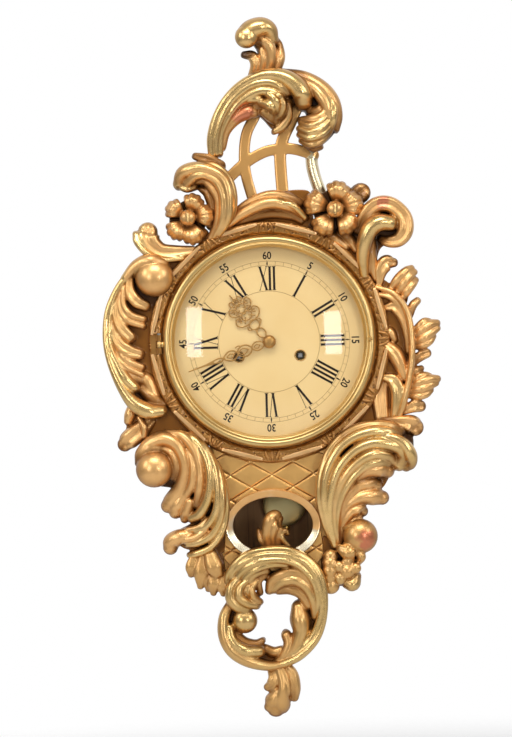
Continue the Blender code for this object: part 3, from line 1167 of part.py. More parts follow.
def build_pendulum():
    top = ANCHOR_Z
    pivot = (0.0, 0.0, top)
    depth = PENDULUM_D
    half = SPRING_WIDTH / 2
    spring_top = top + 0.6
    spring_low = spring_top - SPRING_LENGTH
    lip_front = BACK_PLATE_BACK - GAP - CRUTCH_THICK - GAP
    arm = box(-5, 5, depth - half - 1, BACK_PLATE_BACK - GAP, top + PIVOT_RADIUS + 1.5, top + 7)
    lip = box(-3, 3, depth - half - 1, lip_front, spring_top + GAP, top + 5)
    add("suspension_cock", joined(arm, lip), "brass")

    spring = box(-SPRING_THICK / 2, SPRING_THICK / 2, depth - half, depth + half, spring_low, spring_top)
    add("suspension_spring", swung(spring), "steel", pivot)

    rod_top = spring_low - GAP
    rod_low = BOB_Z - BOB_RADIUS - NUT_DISC_HEIGHT - 5
    hook = box(-2, 2, depth - half, depth + half, rod_top - 3, rod_top)
    rod = upright(0, depth, ROD_RADIUS, rod_low, rod_top - 1, 10)
    add("pendulum_rod", swung(joined(rod, hook)), "brass", pivot)

    edge, back = 0.08 * BOB_THICK, depth - BOB_THICK / 2
    front = depth + BOB_THICK / 2
    lens = turned([(0, front), (0.55 * BOB_RADIUS, front - 1.0), (0.88 * BOB_RADIUS, front - 2.3),
                   (BOB_RADIUS, depth + edge), (BOB_RADIUS, depth - edge), (0.88 * BOB_RADIUS, back + 2.3),
                   (0.55 * BOB_RADIUS, back + 1.0), (0, back)], 18, 0.0, BOB_Z)
    bore = upright(0, depth, ROD_RADIUS + GAP, BOB_Z - 2 * BOB_RADIUS, BOB_Z + 2 * BOB_RADIUS, 10)
    add("pendulum_bob", swung(main_body(cut(lens, bore))), "brass", pivot)

    nut_top = BOB_Z - BOB_RADIUS - GAP
    disc = upright(0, depth, NUT_DISC_RADIUS, nut_top - NUT_DISC_HEIGHT, nut_top, 16)
    add("rating_nut", swung(main_body(cut(disc, bore))), "brass", pivot)


def build_striking():
    x, z = HAMMER_PIVOT
    head_x, head_z = HAMMER_HEAD_X, HAMMER_HEAD_Z
    middle = (BACK_PLATE_FRONT + FRONT_PLATE_BACK) / 2
    arbor = prism(circle(x, z, PIVOT_RADIUS, 6), BACK_PLATE_BACK + GAP, FRONT_PLATE_FRONT - GAP)
    along = Vector((head_x - x, head_z - z)).normalized() * 1.5
    arm_outline = [(x - along.y, z + along.x), (x + along.y, z - along.x),
                   (head_x + along.y, head_z - along.x), (head_x - along.y, head_z + along.x)]
    arm = prism(arm_outline, middle - 1, middle + 1)
    half = HAMMER_HEAD_LENGTH / 2
    head = prism(circle(head_x, head_z, HAMMER_HEAD_RADIUS, 14), middle - half, middle + half)
    add("hammer", joined(arbor, arm, head), "steel", (x, 0.0, z))

    half = GONG_BLOCK_WIDTH / 2
    block = box(GONG_X - half, GONG_X + half, CASE_BACK, middle + GONG_BLOCK_REACH, GONG_BLOCK_LOW, GONG_BLOCK_TOP)
    add("gong_block", block, "steel")
    rod_top = GONG_BLOCK_LOW - GAP
    rod = upright(GONG_X, middle, GONG_RADIUS, rod_top - GONG_LENGTH, rod_top)
    add("gong_rod", rod, "steel")


def build_clock():
    clear_scene()
    make_materials()
    build_case()
    build_board()
    build_ring()
    build_carving()
    build_dial()
    build_bezel()
    build_hands()
    build_plates()
    build_barrels()
    build_train()
    build_motion_work()
    build_pendulum()
    build_striking()


build_clock()
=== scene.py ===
"""Looks of the carved and gilded wall clock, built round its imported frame.

Sizes and places are millimetres on the clock, as in its source: x to the right, d outwards from the wall,
z up from the middle of the dial. `spot` turns such a place into Blender's metres, with the clock facing -Y.
"""

import math

import bmesh
import bpy
import numpy as np
from mathutils import Matrix, Vector, kdtree, noise


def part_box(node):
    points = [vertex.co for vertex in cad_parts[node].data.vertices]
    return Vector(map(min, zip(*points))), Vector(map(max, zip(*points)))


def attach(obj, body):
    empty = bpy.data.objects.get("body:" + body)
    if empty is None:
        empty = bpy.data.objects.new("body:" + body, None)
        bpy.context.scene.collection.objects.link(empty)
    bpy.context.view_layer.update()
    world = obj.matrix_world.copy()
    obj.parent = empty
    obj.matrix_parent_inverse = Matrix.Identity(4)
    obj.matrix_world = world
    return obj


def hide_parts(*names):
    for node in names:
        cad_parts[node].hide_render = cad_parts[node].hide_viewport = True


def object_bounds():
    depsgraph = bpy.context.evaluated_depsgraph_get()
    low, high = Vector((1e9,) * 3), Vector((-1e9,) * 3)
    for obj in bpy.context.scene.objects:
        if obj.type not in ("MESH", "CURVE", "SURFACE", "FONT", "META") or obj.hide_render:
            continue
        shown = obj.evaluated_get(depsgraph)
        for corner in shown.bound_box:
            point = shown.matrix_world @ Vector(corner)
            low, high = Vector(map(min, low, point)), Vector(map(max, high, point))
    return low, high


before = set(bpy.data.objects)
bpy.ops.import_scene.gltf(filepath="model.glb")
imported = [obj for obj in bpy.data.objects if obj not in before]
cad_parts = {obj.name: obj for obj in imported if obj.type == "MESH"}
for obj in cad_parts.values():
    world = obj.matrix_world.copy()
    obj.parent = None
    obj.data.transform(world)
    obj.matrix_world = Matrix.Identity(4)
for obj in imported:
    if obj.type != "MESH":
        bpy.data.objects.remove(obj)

MM = 0.001
CAD_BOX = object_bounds()


def spot(x, d, z):
    return (x * MM, -d * MM, z * MM)


def front_of(node):
    return -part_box(node)[0].y / MM


def back_of(node):
    return -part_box(node)[1].y / MM


# Carving: strokes and balls that rise from a solid ground on the board and are melted into one surface
BOARD_FRONT = front_of("ground_board")
CARVING_BACK = back_of("left_acanthus")
GROUND_HEIGHT = 3.0
GROUND_STEPS = 5
LOBE_SINK = 7.0
LOBE_STEPS = 6
LOBE_SIDES = 16
LOBE_RISE = 1.25
LEAF_RISE = 0.6
FLAT_RISE = 2.0
FLAT_POWER = 8
FOOT_SHARE = 0.8
LEAST_HALF = 0.6
LEAST_WALL = 1.0
STROKE_SPREAD = 1.1
CAP_STEPS = (0.45, 0.75, 0.93, 0.995)
CAP_LEAST = 0.08
CAP_FOOT = 0.4
BALL_ROWS = 20
BALL_SIDES = 28
BALL_POLE = 0.02
BALL_DEPTH = 0.85
BALL_MARKS = 6
BALL_MARK_REACH = 0.7
BALL_MARK_HEIGHT = 0.8
VOXEL = 0.75
SOFTENING = 3
SOFTEN_SHARE = 0.5
EASING = 8
EASE_SHARES = (0.6, -0.63)
RECESS_REACH = 14
RECESS_BLUR = 0.6
SUNK_CELL = 1.5
SUNK_REACH = 6
SHINE_ROUNDS = 4

# Lower ornaments, whose gold is painted darker as shade for the dimmer light near the clock's foot
SHADED = ("pendant_scroll", "pendant_drop", "apron_left_leaves", "lower_right_buds", "aperture_finial")

# Dial
DIAL_FRONT = front_of("dial_plate")
PRINT_RISE = 0.12
PRINT_SINK = 0.05
NUMERAL_INNER = 52.0
NUMERAL_OUTER = 75.5
INNER_CIRCLE = 51.0
TRACK_INNER = 77.0
TRACK_OUTER = 81.0
MINUTE_NUMBER_RADIUS = 86.3
MINUTE_NUMBER_SIZE = 10.6
MINUTE_NUMBER_WEIGHT = 0.22
MINUTE_NUMBER_STEPS = 3
NUMBER_NARROWING = 0.85
CIRCLES = ((INNER_CIRCLE, 0.5), (TRACK_INNER, 0.4), (TRACK_OUTER, 0.4))
CIRCLE_SIDES = 180
TICK_WIDTH = 0.35
SPINDLE = [(0, TRACK_INNER - 1.6), (0.8, TRACK_INNER + 1.4), (0, TRACK_OUTER + 1.0),
           (-0.8, TRACK_INNER + 1.4)]
WINDING_PLACE = (30.9, -14.5)
EYELET_TURNING = [(5.0, -0.4), (5.0, 0.25), (5.4, 0.45), (6.0, 0.2), (6.1, -0.4)]
EYELET_SIDES = 48

NUMERALS = ["XII", "I", "II", "III", "IIII", "V", "VI", "VII", "VIII", "IX", "X", "XI"]
NUMERAL_THICK = 2.3
NUMERAL_THIN = 0.6
SERIF = 0.7
SERIF_HALF = 0.3
V_GAP = 0.4
LETTER_WIDTH = {"I": 4.3, "V": 8.6, "X": 9.0}

# Hands, showing the time in the photograph. A ribbon's places are (across, out from the middle, half-width)
MINUTE_ANGLE = math.radians(251)
HOUR_ANGLE = math.radians(300) + MINUTE_ANGLE / 12
HAND_VOXEL = 0.28
HAND_SOFTENING = 2
MINUTE_DISC = 5.6
HOUR_DISC = 6.6
DISC_SIDES = 40
MINUTE_RIBBONS = [
    [(0, 4, 0.8), (3.6, 9, 0.8), (4.2, 14, 0.8), (1.6, 18, 0.7), (0, 19, 0.7)],
    [(0, 10, 0.6), (2, 13, 0.6), (0.6, 16, 0.6)],
    [(0, 18, 0.8), (4.6, 22, 0.8), (5.6, 28, 0.8), (2.6, 33, 0.7), (0, 34, 0.7)],
    [(0, 22, 0.6), (2.6, 26, 0.6), (2.4, 30, 0.6), (0, 33, 0.6)],
    [(0, 33, 0.8), (4.0, 37, 0.8), (4.8, 42, 0.8), (2.2, 47, 0.7), (0, 49, 0.7)],
    [(0, 37, 0.6), (2.0, 41, 0.6), (0.4, 45, 0.6)],
    [(5.4, 28, 0.6), (7.0, 31, 0.6), (6.0, 34, 0.6)],
    [(0, 48, 0.9), (1.9, 53, 0.8), (1.3, 60, 0.7), (0.3, 68, 0.7)],
    [(0, 60, 1.0), (0, 76, 0.75), (0, 86, 0.4)],
]
HOUR_RIBBONS = [
    [(0, 5, 0.8), (3.8, 10, 0.7), (3.4, 15, 0.7), (0, 18, 0.8)],
    [(0, 17, 0.8), (4.6, 20, 0.7), (4.8, 25, 0.7), (0.6, 28, 0.8)],
    [(5.0, 20, 0.6), (8.0, 22, 0.6), (7.0, 25, 0.6)],
    [(0, 27, 0.8), (5.0, 26.5, 0.7), (11.0, 28.5, 0.7), (14.0, 33, 0.7), (11.5, 37.5, 0.7), (8.0, 37, 0.6),
     (7.5, 34, 0.6), (9.5, 32.5, 0.55)],
    [(0, 30, 0.7), (4.0, 31.5, 0.6), (5.5, 35, 0.6), (3.0, 38.5, 0.6), (0, 37, 0.55)],
    [(5.0, 39, 0.7), (10.0, 40.5, 0.7), (13.0, 44.5, 0.7), (11.0, 49, 0.7), (7.5, 48, 0.6), (7.0, 45, 0.6),
     (9.0, 43.8, 0.55)],
    [(0, 39, 0.7), (3.5, 41, 0.6), (5.0, 45, 0.6), (2.5, 48, 0.6), (0, 46.5, 0.55)],
    [(4.0, 49, 0.6), (7.0, 51.5, 0.6), (6.0, 55, 0.6), (3.0, 54.5, 0.55), (3.0, 52, 0.55)],
    [(0, 48, 0.7), (2.6, 50.5, 0.6), (1.8, 54, 0.6), (0, 56, 0.7)],
    [(2.0, 34, 0.55), (6.5, 29.5, 0.55)],
    [(6.0, 38, 0.55), (10.0, 34.5, 0.55)],
    [(2.5, 43, 0.55), (8.0, 41.5, 0.55)],
    [(6.0, 47, 0.55), (10.0, 46, 0.55)],
    [(0, 52, 0.9), (0, 58, 0.6), (0, 61, 0.35)],
]

# Boss over the hands. A turning is (radius, rise), here from the boss's back and then from its front
BOSS_BACK = back_of("hand_nut")
BOSS_FRONT = front_of("hand_nut")
BOSS_STEM = [(0, 0), (6.5, 0), (6.5, 0.7), (6.0, 1.1), (5.7, 1.9), (4.8, 2.9)]
BOSS_DOME = [(3.3, -0.35), (1.6, -0.06), (0, 0)]
BOSS_SIDES = 64

# Bezel door. Its inner steps rise from the seat of the glass, its outer roll falls from its front
TURNED_SIDES = 128
CREASE = math.radians(40)
MERGE = 0.001
BEZEL_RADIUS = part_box("bezel_ring")[1].z / MM
BEZEL_FRONT = front_of("bezel_ring")
BEZEL_BACK = back_of("bezel_ring")
BEZEL_SIGHT = 95.0
BEZEL_WALL = 9
BEZEL_STEPS = [(BEZEL_RADIUS - BEZEL_WALL, 0), (BEZEL_SIGHT, 0), (BEZEL_SIGHT, 0.9), (95.4, 1.8), (96.2, 2.6),
               (96.9, 3.3), (97.3, 4.2), (97.7, 4.7), (98.4, 4.9), (99.0, 4.6), (99.3, 4.0), (99.6, 3.9),
               (100.0, 4.4)]
BEZEL_ROLL = [(100.8, -0.4), (102.0, 0), (103.4, -0.2), (104.7, -1.0), (105.8, -2.3), (106.6, -4.2),
              (107.0, -6.4), (107.0, -8.0), (106.6, -8.4), (106.6, -9.2), (BEZEL_RADIUS, -9.6)]
BEZEL_SIDES = 192
GLASS_SEAT = 72.55
GLASS_RISE = 14.0
GLASS_INNER = GLASS_SEAT - 2.35
GLASS_OUTER = GLASS_SEAT - 0.35
GLASS_RADIUS = 97.6
DOME_OUTER_RADIUS = 94.6
DOME_INNER_RADIUS = 93.6
DOME_STEPS = 24
GLASS_SIDES = 160
GLASS_CREASE = math.radians(8)
HINGE_PLACE = (-110.3, 74.0)
KNUCKLE_HALF = 3.0
KNUCKLE_RADIUS = 2.6
KNUCKLE_END_RADIUS = 2.1
KNUCKLE_BEVEL = 0.4
KNUCKLE_SIDES = 24
LEAF_REACH = -104.5
LEAF_BEHIND = 2.0
LEAF_BEFORE = 0.5
LEAF_INSET = 0.3

# Ring round the bezel: a punched band, straight reeds and the bands that bind their ends
RING_INNER = 107.7
RING_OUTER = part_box("carved_ring")[1].z / MM
RING_BACK = back_of("carved_ring")
RING_FRONT = RING_BACK + 9.0
RING_EDGE = [(-1.2, -0.6), (-0.4, -1.4), (0, -2.6)]
RING_SIDES = 540
BAND_STEPS = 19
BAND_STEP = 0.6
BAND_INSET = 0.2
BAND_WALL = 5.4
BAND_BEVEL = 0.55
BAND_BEVEL_STEPS = 4
BAND_SLOPE = 0.08
PIT_WALL = 5
PIT_DEPTH = 2.0
PIT_LEAST = 0.05
PIT_SCALE = 0.42
FINE_PIT_SCALE = 0.95
FINE_PIT_SHARE = 0.6
REED_COUNT = 12
REED_FIRST_TURN = math.radians(15)
REED_PLACE = 116.2
REED_REACH = 20.3
REED_HALF = 2.3
REED_RISE = 2.3
REED_TAPER = 0.25
REED_POINTS = 5
REED_FOOT = RING_FRONT - 3
BINDING_TOP = RING_FRONT + 1.2
BINDING_BANDS = ((-5.0, 1.6), (0.0, 0.0), (5.0, -1.6))
BINDING_LINE = ((-1, RING_INNER + 3, 1.7, 1.4), (0, REED_PLACE, 2.1, 0.0), (1, RING_OUTER - 2.2, 1.8, 0.8))

# Screws of the back cover
SCREW_RADIUS = 3.4
SCREW_SINK = 0.3
SCREW_SEAT = 0.15
SCREW_RISE = 0.6
SCREW_SIDES = 24
SCREW_TURN = math.radians(25)
SLOT_HALF = 0.45
SLOT_STEPS = 13
BACK_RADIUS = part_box("back_cover")[1].z / MM
SCREW_INSET = 5.0
TRUNK_SCREWS = [(50.5, -150.0), (50.5, -215.0)]
DRUM_SCREWS = [50, 110]

# Apron: the oval aperture with its rim, whose turning is from the rim's front, the trellis and the bob
APERTURE = (-1.5, -184.1)
APERTURE_HALF = (40.0, 28.0)
RIM_WIDTH = 8.0
RIM_TURNING = [(0, -3.4), (0.3, -3.0), (0.9, -2.7), (6.0, -0.3), (6.6, -0.05), (7.2, 0), (7.7, -0.4),
               (RIM_WIDTH, -1.4)]
RIM_MARKS = 48
# Below this the rim is marked burnished, so painted nearly white as a highlight
RIM_BRIGHT_BELOW = APERTURE[1] - 6
RIM_BRIGHT = 1.0
RIM_DULL = 0.15
PANEL_FRONT = front_of("apron_panel")
PANEL_SKIN = 0.7
PANEL_VOXEL = VOXEL * 0.9
PANEL_SOFTENING = 1
TRELLIS_KNOT = (-22.0, -121.0)
TRELLIS_TALL = 25.0
TRELLIS_SLOPE = 0.595
TRELLIS_HALF = 0.9
TRELLIS_DEPTH = 1.3
PILLOW_SLOPE = 0.04
PILLOW_REACH = 8.0
BOB_EDGE = 0.3
BOB_STEPS = 13
BOB_SIDES = 96

# Floor: how far it lies below the clock's foot, its half-width, and from where to where it fades
FLOOR_DROP = 250.0
FLOOR_HALF = 2000.0
FLOOR_CLEAR = 1100.0
FLOOR_GONE = 2000.0

ROUND, HOLLOW, VEINED, FLAT, LEAF = range(5)

# How far the middle of a stroke's crown dips, and over what share of its half-width
DIPS = {HOLLOW: (0.42, 0.5), VEINED: (0.28, 0.16), LEAF: (0.15, 0.15)}

# Carved forms as seen from the front: for each ornament its strokes, as (section, burnish, places), and each
# place is (x, z, half-width, height over the board). One place alone is a ball. Burnish also makes the gold
# paler, partly a painted highlight.
STROKES = {
    "crest_scroll": [
        (ROUND, 1.0, [(-53, 188, 3, 12), (-53, 206, 3.5, 17), (-47, 226, 3.5, 21), (-36, 244, 3.5, 24),
                      (-20, 258, 4, 26), (0, 266, 5, 28), (18, 265, 7, 30), (32, 257, 8.5, 31),
                      (40, 246, 9, 30), (41, 239, 8, 25)]),
        (ROUND, 0.9, [(-48, 189, 3, 12), (-47, 208, 3, 17), (-41, 226, 3.5, 21), (-30, 243, 4, 24),
                      (-12, 256, 4, 26), (6, 259, 4, 27), (18, 254, 4, 26), (26, 247, 3, 20)]),
        (ROUND, 0.8, [(-44, 190, 3, 11), (-42, 210, 3, 15), (-34, 227, 3.5, 19), (-22, 241, 4, 22),
                      (-5, 250, 4.5, 24), (8, 250, 4, 25), (17, 245, 3.5, 24), (21, 238, 3, 18)]),
        (ROUND, 0.3, [(-41, 196, 3, 10), (-37, 212, 4, 13), (-27, 225, 6, 16), (-15, 231, 7, 18),
                      (-9, 231, 6, 15)]),
        (ROUND, 0.9, [(-30, 234, 3, 16), (-17, 242, 3.5, 20), (-5, 243, 4, 21), (3, 240, 3, 17)]),
        (ROUND, 0.8, [(2, 250, 3, 22), (9, 245, 4, 27), (14, 238, 4, 27), (14, 230, 3.5, 21)]),
        (ROUND, 0.9, [(-2, 240, 4, 20), (6, 237, 5, 26), (10, 232, 4, 25), (8, 226, 3, 17)]),
        (ROUND, 0.7, [(18, 244, 3, 22), (21, 236, 3, 22), (18, 228, 3, 18), (12, 223, 3, 13)]),
        (ROUND, 0.6, [(26, 238, 3, 14), (26, 226, 4, 13), (19, 216, 5, 11), (11, 211, 3, 8)]),
        (ROUND, 0.6, [(0, 231, 4, 17), (8, 225, 5, 17), (13, 221, 4, 12)]),
        (ROUND, 0.4, [(-6, 238, 6, 15), (6, 240, 9, 17), (18, 240, 8, 15), (28, 240, 5, 12)]),
        (ROUND, 0.2, [(20, 269.5, 4, 14), (41.5, 264, 6, 18), (59, 253, 7, 21), (69.5, 239.5, 7, 22),
                      (74.5, 224, 5, 19), (73.5, 211, 3, 12)]),
        (ROUND, 0.4, [(36, 262, 5, 19), (52, 252, 6, 24), (62, 239, 6, 26), (66, 225, 5, 24),
                      (64, 212, 4, 17)]),
        (ROUND, 1.0, [(66, 244, 3, 21), (71, 232, 3.5, 24), (70, 220, 3.5, 23), (66, 208, 3, 15)]),
        (ROUND, 0.6, [(38, 219, 3, 15), (46, 215, 3.5, 24), (56, 217, 3.5, 26), (64, 225, 3, 23)]),
        (ROUND, 0.7, [(36, 213, 3, 17), (46, 208, 3.5, 26), (57, 211, 3.5, 27), (66, 220, 3, 22)]),
        (ROUND, 0.7, [(36, 207, 3, 16), (46, 202, 3.5, 25), (57, 205, 3.5, 25), (67, 214, 3, 19)]),
        (ROUND, 0.5, [(38, 201, 3, 14), (47, 196, 3.5, 21), (57, 199, 3.5, 21), (66, 208, 3, 15)]),
        (ROUND, 0.2, [(43, 196, 3, 11), (50, 192, 3, 15), (57, 194, 3, 13)]),
        (ROUND, 0.4, [(39, 221, 4, 13), (47, 221, 4.5, 21), (56, 223, 4, 25), (64, 230, 3, 23)]),
        (ROUND, 0.2, [(47, 231, 4, 12), (55, 230, 5, 19), (63, 235, 4, 22)]),
    ],
    "crest_finial": [
        (ROUND, 0.6, [(-14.5, 305, 11.5, 29)]),
        (ROUND, 0.6, [(-16, 307, 9, 26), (-9, 312, 10, 28), (1, 314.5, 9.5, 28), (8.5, 311, 8, 25),
                      (12.5, 302, 5, 18)]),
        (ROUND, 0.4, [(7, 270, 5, 11), (10, 284, 5.5, 17), (8, 296, 5.5, 20), (1, 302, 4.5, 20),
                      (-5, 300, 3, 14)]),
        (ROUND, 0.3, [(0, 270, 3.5, 10), (2, 283, 4, 15), (0, 293, 3, 15), (-4, 297, 2.5, 11)]),
        (VEINED, 0.4, [(-9, 266, 5, 8), (-6, 278, 5, 13), (-9, 287, 5, 13), (-17, 289, 3.5, 8)]),
        (ROUND, 0.4, [(14, 270, 4, 9), (19, 284, 4.5, 13), (19, 297, 3, 9), (17, 303, 2, 6)]),
        (ROUND, 0.3, [(8, 317.5, 3, 13), (12.5, 312.5, 3.5, 14), (15, 303, 3, 9)]),
    ],
    "crest_left_scroll": [
        (ROUND, 0.8, [(-44, 112, 2.5, 14), (-33, 128, 2.5, 20), (-31, 147, 3, 22), (-36, 165, 3, 22),
                      (-48, 177, 3, 20), (-62, 180, 3, 17)]),
        (ROUND, 0.5, [(-48, 108, 3, 14), (-38, 125, 4.5, 24), (-36, 146, 4.5, 28), (-41, 163, 4.5, 28),
                      (-52, 172, 4.5, 27), (-68, 176, 5.5, 25), (-81, 171, 7, 21), (-86, 161, 6, 12)]),
        (ROUND, 0.5, [(-53, 106, 3, 12), (-44, 122, 4, 22), (-42, 144, 4, 26), (-47, 159, 4, 26),
                      (-57, 167, 4, 25), (-68, 168, 4.5, 23), (-78, 160, 5, 15)]),
        (ROUND, 0.3, [(-57, 105, 3, 10), (-49, 121, 3.5, 18), (-47, 141, 4, 21), (-52, 153, 4, 21),
                      (-60, 162, 3.5, 18), (-70, 162, 3, 14)]),
        (ROUND, 0.1, [(-56, 118, 4, 11), (-53, 136, 5, 13), (-57, 150, 5, 13), (-64, 155, 3, 9)]),
        (ROUND, 0.9, [(-70, 157, 3, 11), (-79, 155, 3, 13), (-87, 159, 2.5, 9)]),
        (HOLLOW, 0.3, [(-44, 178, 5, 16), (-57, 184, 5.5, 18), (-69, 188, 3.5, 13)]),
    ],
    "ring_top_leaf": [
        (ROUND, 0.3, [(-40, 119, 3, 9), (-22, 137, 3.5, 14), (2, 147, 4, 17), (22, 145, 4, 15),
                      (36, 138, 3, 9)]),
        (ROUND, 0.2, [(-42, 115, 3, 9), (-22, 130, 5.5, 18), (4, 139, 6, 22), (26, 134, 5, 18),
                      (40, 123, 3, 9)]),
        (ROUND, 0.9, [(14, 139, 2, 20), (28, 135, 3, 21), (40, 123, 2.5, 13)]),
        (ROUND, 0.1, [(-30, 120, 3, 7), (0, 128, 4, 11), (25, 126, 4, 10), (36, 120, 3, 7)]),
    ],
    "top_left_volute": [
        (HOLLOW, 0.4, [(-74, 94, 4, 11), (-92, 92, 7, 16), (-106, 93, 8.5, 19), (-116, 100, 10.5, 21),
                       (-119.5, 108, 11.5, 21), (-119, 113, 9.5, 16)]),
        (ROUND, 0.9, [(-84, 86, 2, 12), (-104, 85, 3, 18), (-119, 91, 3.2, 20), (-129.5, 103, 3.2, 18),
                      (-131, 112, 3, 14)]),
    ],
    "top_right_volute": [
        (HOLLOW, 0.3, [(93, 109, 5, 15), (100, 124, 7, 22), (112, 134, 7.5, 25), (126, 133, 7.5, 26),
                       (138, 121, 7.5, 26), (139, 107, 7.5, 26), (132, 98, 6.5, 23), (121, 97, 5, 18),
                       (115, 100, 3, 12)]),
        (ROUND, 0.9, [(97, 64, 4.5, 12), (96, 82, 6, 20), (98, 97, 7, 26), (104, 110, 8, 29),
                      (114, 116, 8, 30), (125, 115, 7, 28)]),
        (ROUND, 0.1, [(106, 102, 3, 12), (105, 86, 5, 13), (106, 72, 5, 11), (109, 60, 3, 8)]),
    ],
    "left_acanthus": [
        (ROUND, 0.15, [(-113.5, 67.5, 19.5, 29)]),
        (ROUND, 0.3, [(-104, 80, 6, 21), (-117, 84, 7, 25), (-131, 79, 6, 21), (-143, 67, 4, 17)]),
        (ROUND, 0.9, [(-126, 80, 4.5, 18), (-139, 71, 3.5, 16), (-151, 57, 3, 15), (-161, 36, 2.6, 15),
                      (-164, 14, 2.6, 16), (-162.5, -6, 2.8, 17), (-156.5, -26, 3.5, 19),
                      (-146.5, -46, 5, 21), (-135, -60, 7, 23), (-121, -67, 7.5, 23), (-110, -67, 6, 19)]),
        (ROUND, 0.8, [(-145, 64, 2, 14), (-155.5, 46, 2.5, 15), (-160.3, 22, 2.8, 15), (-159.8, 0, 3, 16),
                      (-153, -18, 4, 18), (-145, -33, 5, 20), (-136, -43, 5, 18)]),
        (HOLLOW, 0.3, [(-138, 68, 3, 16), (-138, 54, 5, 20), (-132, 44, 5.5, 22), (-123, 39, 4.5, 17)]),
        (ROUND, 0.3, [(-144, 60, 2.5, 14), (-145, 42, 3, 17), (-138, 31, 3.3, 19), (-125, 26, 3, 14)]),
        (ROUND, 0.2, [(-148, 54, 2.5, 13), (-148, 36, 3, 16), (-141, 25, 3.3, 18), (-126, 19, 3, 13)]),
        (HOLLOW, 0.4, [(-150, 55, 2.5, 13), (-152, 32, 4.5, 17), (-147, 17, 5.5, 20), (-139, 8, 5, 18)]),
        (HOLLOW, 0.4, [(-155, 40, 2.5, 13), (-155.5, 16, 4, 16), (-150, 2, 5.5, 19), (-140, -6, 6, 20),
                       (-131, -9, 5, 16)]),
        (ROUND, 0.3, [(-154, 0, 3, 14), (-144, -14, 3.4, 17), (-128, -22, 3, 12)]),
        (ROUND, 0.3, [(-155, -7, 3, 14), (-146, -20, 3.4, 17), (-128, -30, 3, 12)]),
        (ROUND, 0.2, [(-153, -14, 3, 13), (-145, -27, 3.2, 15), (-129, -36, 3, 10)]),
        (ROUND, 0.1, [(-134, -30, 6, 8), (-124, -36, 8, 10), (-117, -52, 8, 9)]),
        (ROUND, 0.1, [(-128, -44, 6, 9), (-116, -56, 7, 11), (-108, -60, 5, 8)]),
    ],
    "left_lower_leaves": [
        (ROUND, 0.2, [(-138, -58, 4, 9), (-142, -69, 5, 12), (-144, -76, 4, 9)]),
        (HOLLOW, 0.1, [(-122, -76, 6, 9), (-134, -87, 9, 14), (-144, -95, 9, 13), (-148, -99, 7, 9)]),
        (ROUND, 0.3, [(-133, -72, 2.5, 10), (-128, -82, 3, 14), (-128, -92, 3, 12)]),
    ],
    "lower_left_volute": [
        (ROUND, 0.2, [(-118.7, -124.5, 18.5, 32)]),
        (ROUND, 0.3, [(-133, -118, 5, 16), (-130, -109, 7, 20), (-122, -103, 7, 22), (-113, -104, 5, 20)]),
        (ROUND, 0.3, [(-131, -120, 5, 16), (-129, -106, 6, 20), (-118, -97, 7, 23), (-106, -95, 7, 25),
                      (-94, -103, 6, 26), (-88, -122, 5.5, 24), (-92, -142, 7, 19), (-102, -157, 8, 14),
                      (-106, -162, 7, 10)]),
        (ROUND, 0.2, [(-110, -104, 3, 18), (-101, -109, 3.5, 22), (-97, -122, 4, 21),
                      (-100, -134, 3.5, 15)]),
        (ROUND, 0.3, [(-84, -104, 3, 22), (-80, -122, 3.5, 25), (-82, -142, 4, 23), (-92, -156, 5, 14)]),
        (ROUND, 0.2, [(-106, -89, 4, 17), (-90, -92, 5, 23), (-78, -106, 5, 26), (-73, -126, 4.5, 26),
                      (-74, -146, 4.5, 25), (-77, -162, 4, 16)]),
        (ROUND, 1.0, [(-92, -88, 3, 16), (-76, -98, 4, 24), (-66, -116, 4, 28), (-63, -136, 4, 29),
                      (-66, -156, 4.5, 27), (-74, -170, 5, 22), (-83, -175, 4.5, 15)]),
        (ROUND, 0.8, [(-82, -90, 3, 15), (-68, -104, 3.5, 24), (-59, -124, 3.5, 28), (-56, -146, 3.5, 29),
                      (-58, -166, 3.5, 27), (-66, -181, 3.5, 23), (-80, -188, 3, 16)]),
        (ROUND, 0.7, [(-73, -97, 2.5, 14), (-61, -112, 3, 22), (-53, -134, 3, 26), (-51, -156, 3, 27),
                      (-54, -176, 3.5, 25), (-63, -192, 4, 22), (-78, -200, 3.5, 16), (-88, -201, 3, 12)]),
        (ROUND, 0.8, [(-64, -110, 2, 16), (-54, -124, 2.5, 20), (-48, -146, 2.5, 23), (-47, -168, 2.5, 23),
                      (-52, -188, 3, 22), (-64, -204, 3.5, 19), (-80, -211, 3.5, 14), (-86, -212, 3, 10)]),
        (ROUND, 0.4, [(-68, -186, 3, 20), (-80, -194, 3.5, 18), (-92, -196, 4, 15)]),
        (ROUND, 0.5, [(-66, -176, 3, 20), (-76, -184, 3, 18), (-88, -187, 3, 13)]),
        (ROUND, 0.3, [(-80, -192, 5, 13), (-94, -193, 7, 16), (-103, -198, 8, 14), (-105, -204, 7, 10)]),
        (ROUND, 0.3, [(-90, -150, 5, 16), (-97, -162, 7, 15), (-99, -169, 6, 11)]),
        (ROUND, 0.2, [(-84, -158, 5, 17), (-88, -170, 6, 14), (-90, -176, 4, 9)]),
    ],
    "apron_left_leaves": [
        (LEAF, 0.2, [(-81, -213, 4, 10), (-84.5, -224, 5.5, 12), (-85, -232, 3, 8)]),
        (LEAF, 0.2, [(-71, -213, 5.5, 12), (-74.5, -230, 7, 15), (-76, -244, 3, 9)]),
        (LEAF, 0.1, [(-66, -224, 5, 10), (-66.5, -237, 6, 12), (-68, -247, 3, 8)]),
        (LEAF, 0.2, [(-60, -228, 6, 12), (-62, -242, 6.5, 15), (-63, -251, 3, 9)]),
        (LEAF, 0.2, [(-53, -234, 5, 12), (-53, -245, 5.5, 14), (-53, -252, 3, 9)]),
        (LEAF, 0.3, [(-65, -212, 6, 16), (-61.5, -224, 7.5, 20), (-58, -232, 5, 17)]),
    ],
    "aperture_finial": [
        (ROUND, 0.2, [(-6, -208, 4, 9), (-8, -194, 4.5, 16), (-5, -180, 6, 20), (1, -175, 6, 18),
                      (5, -178, 4, 12)]),
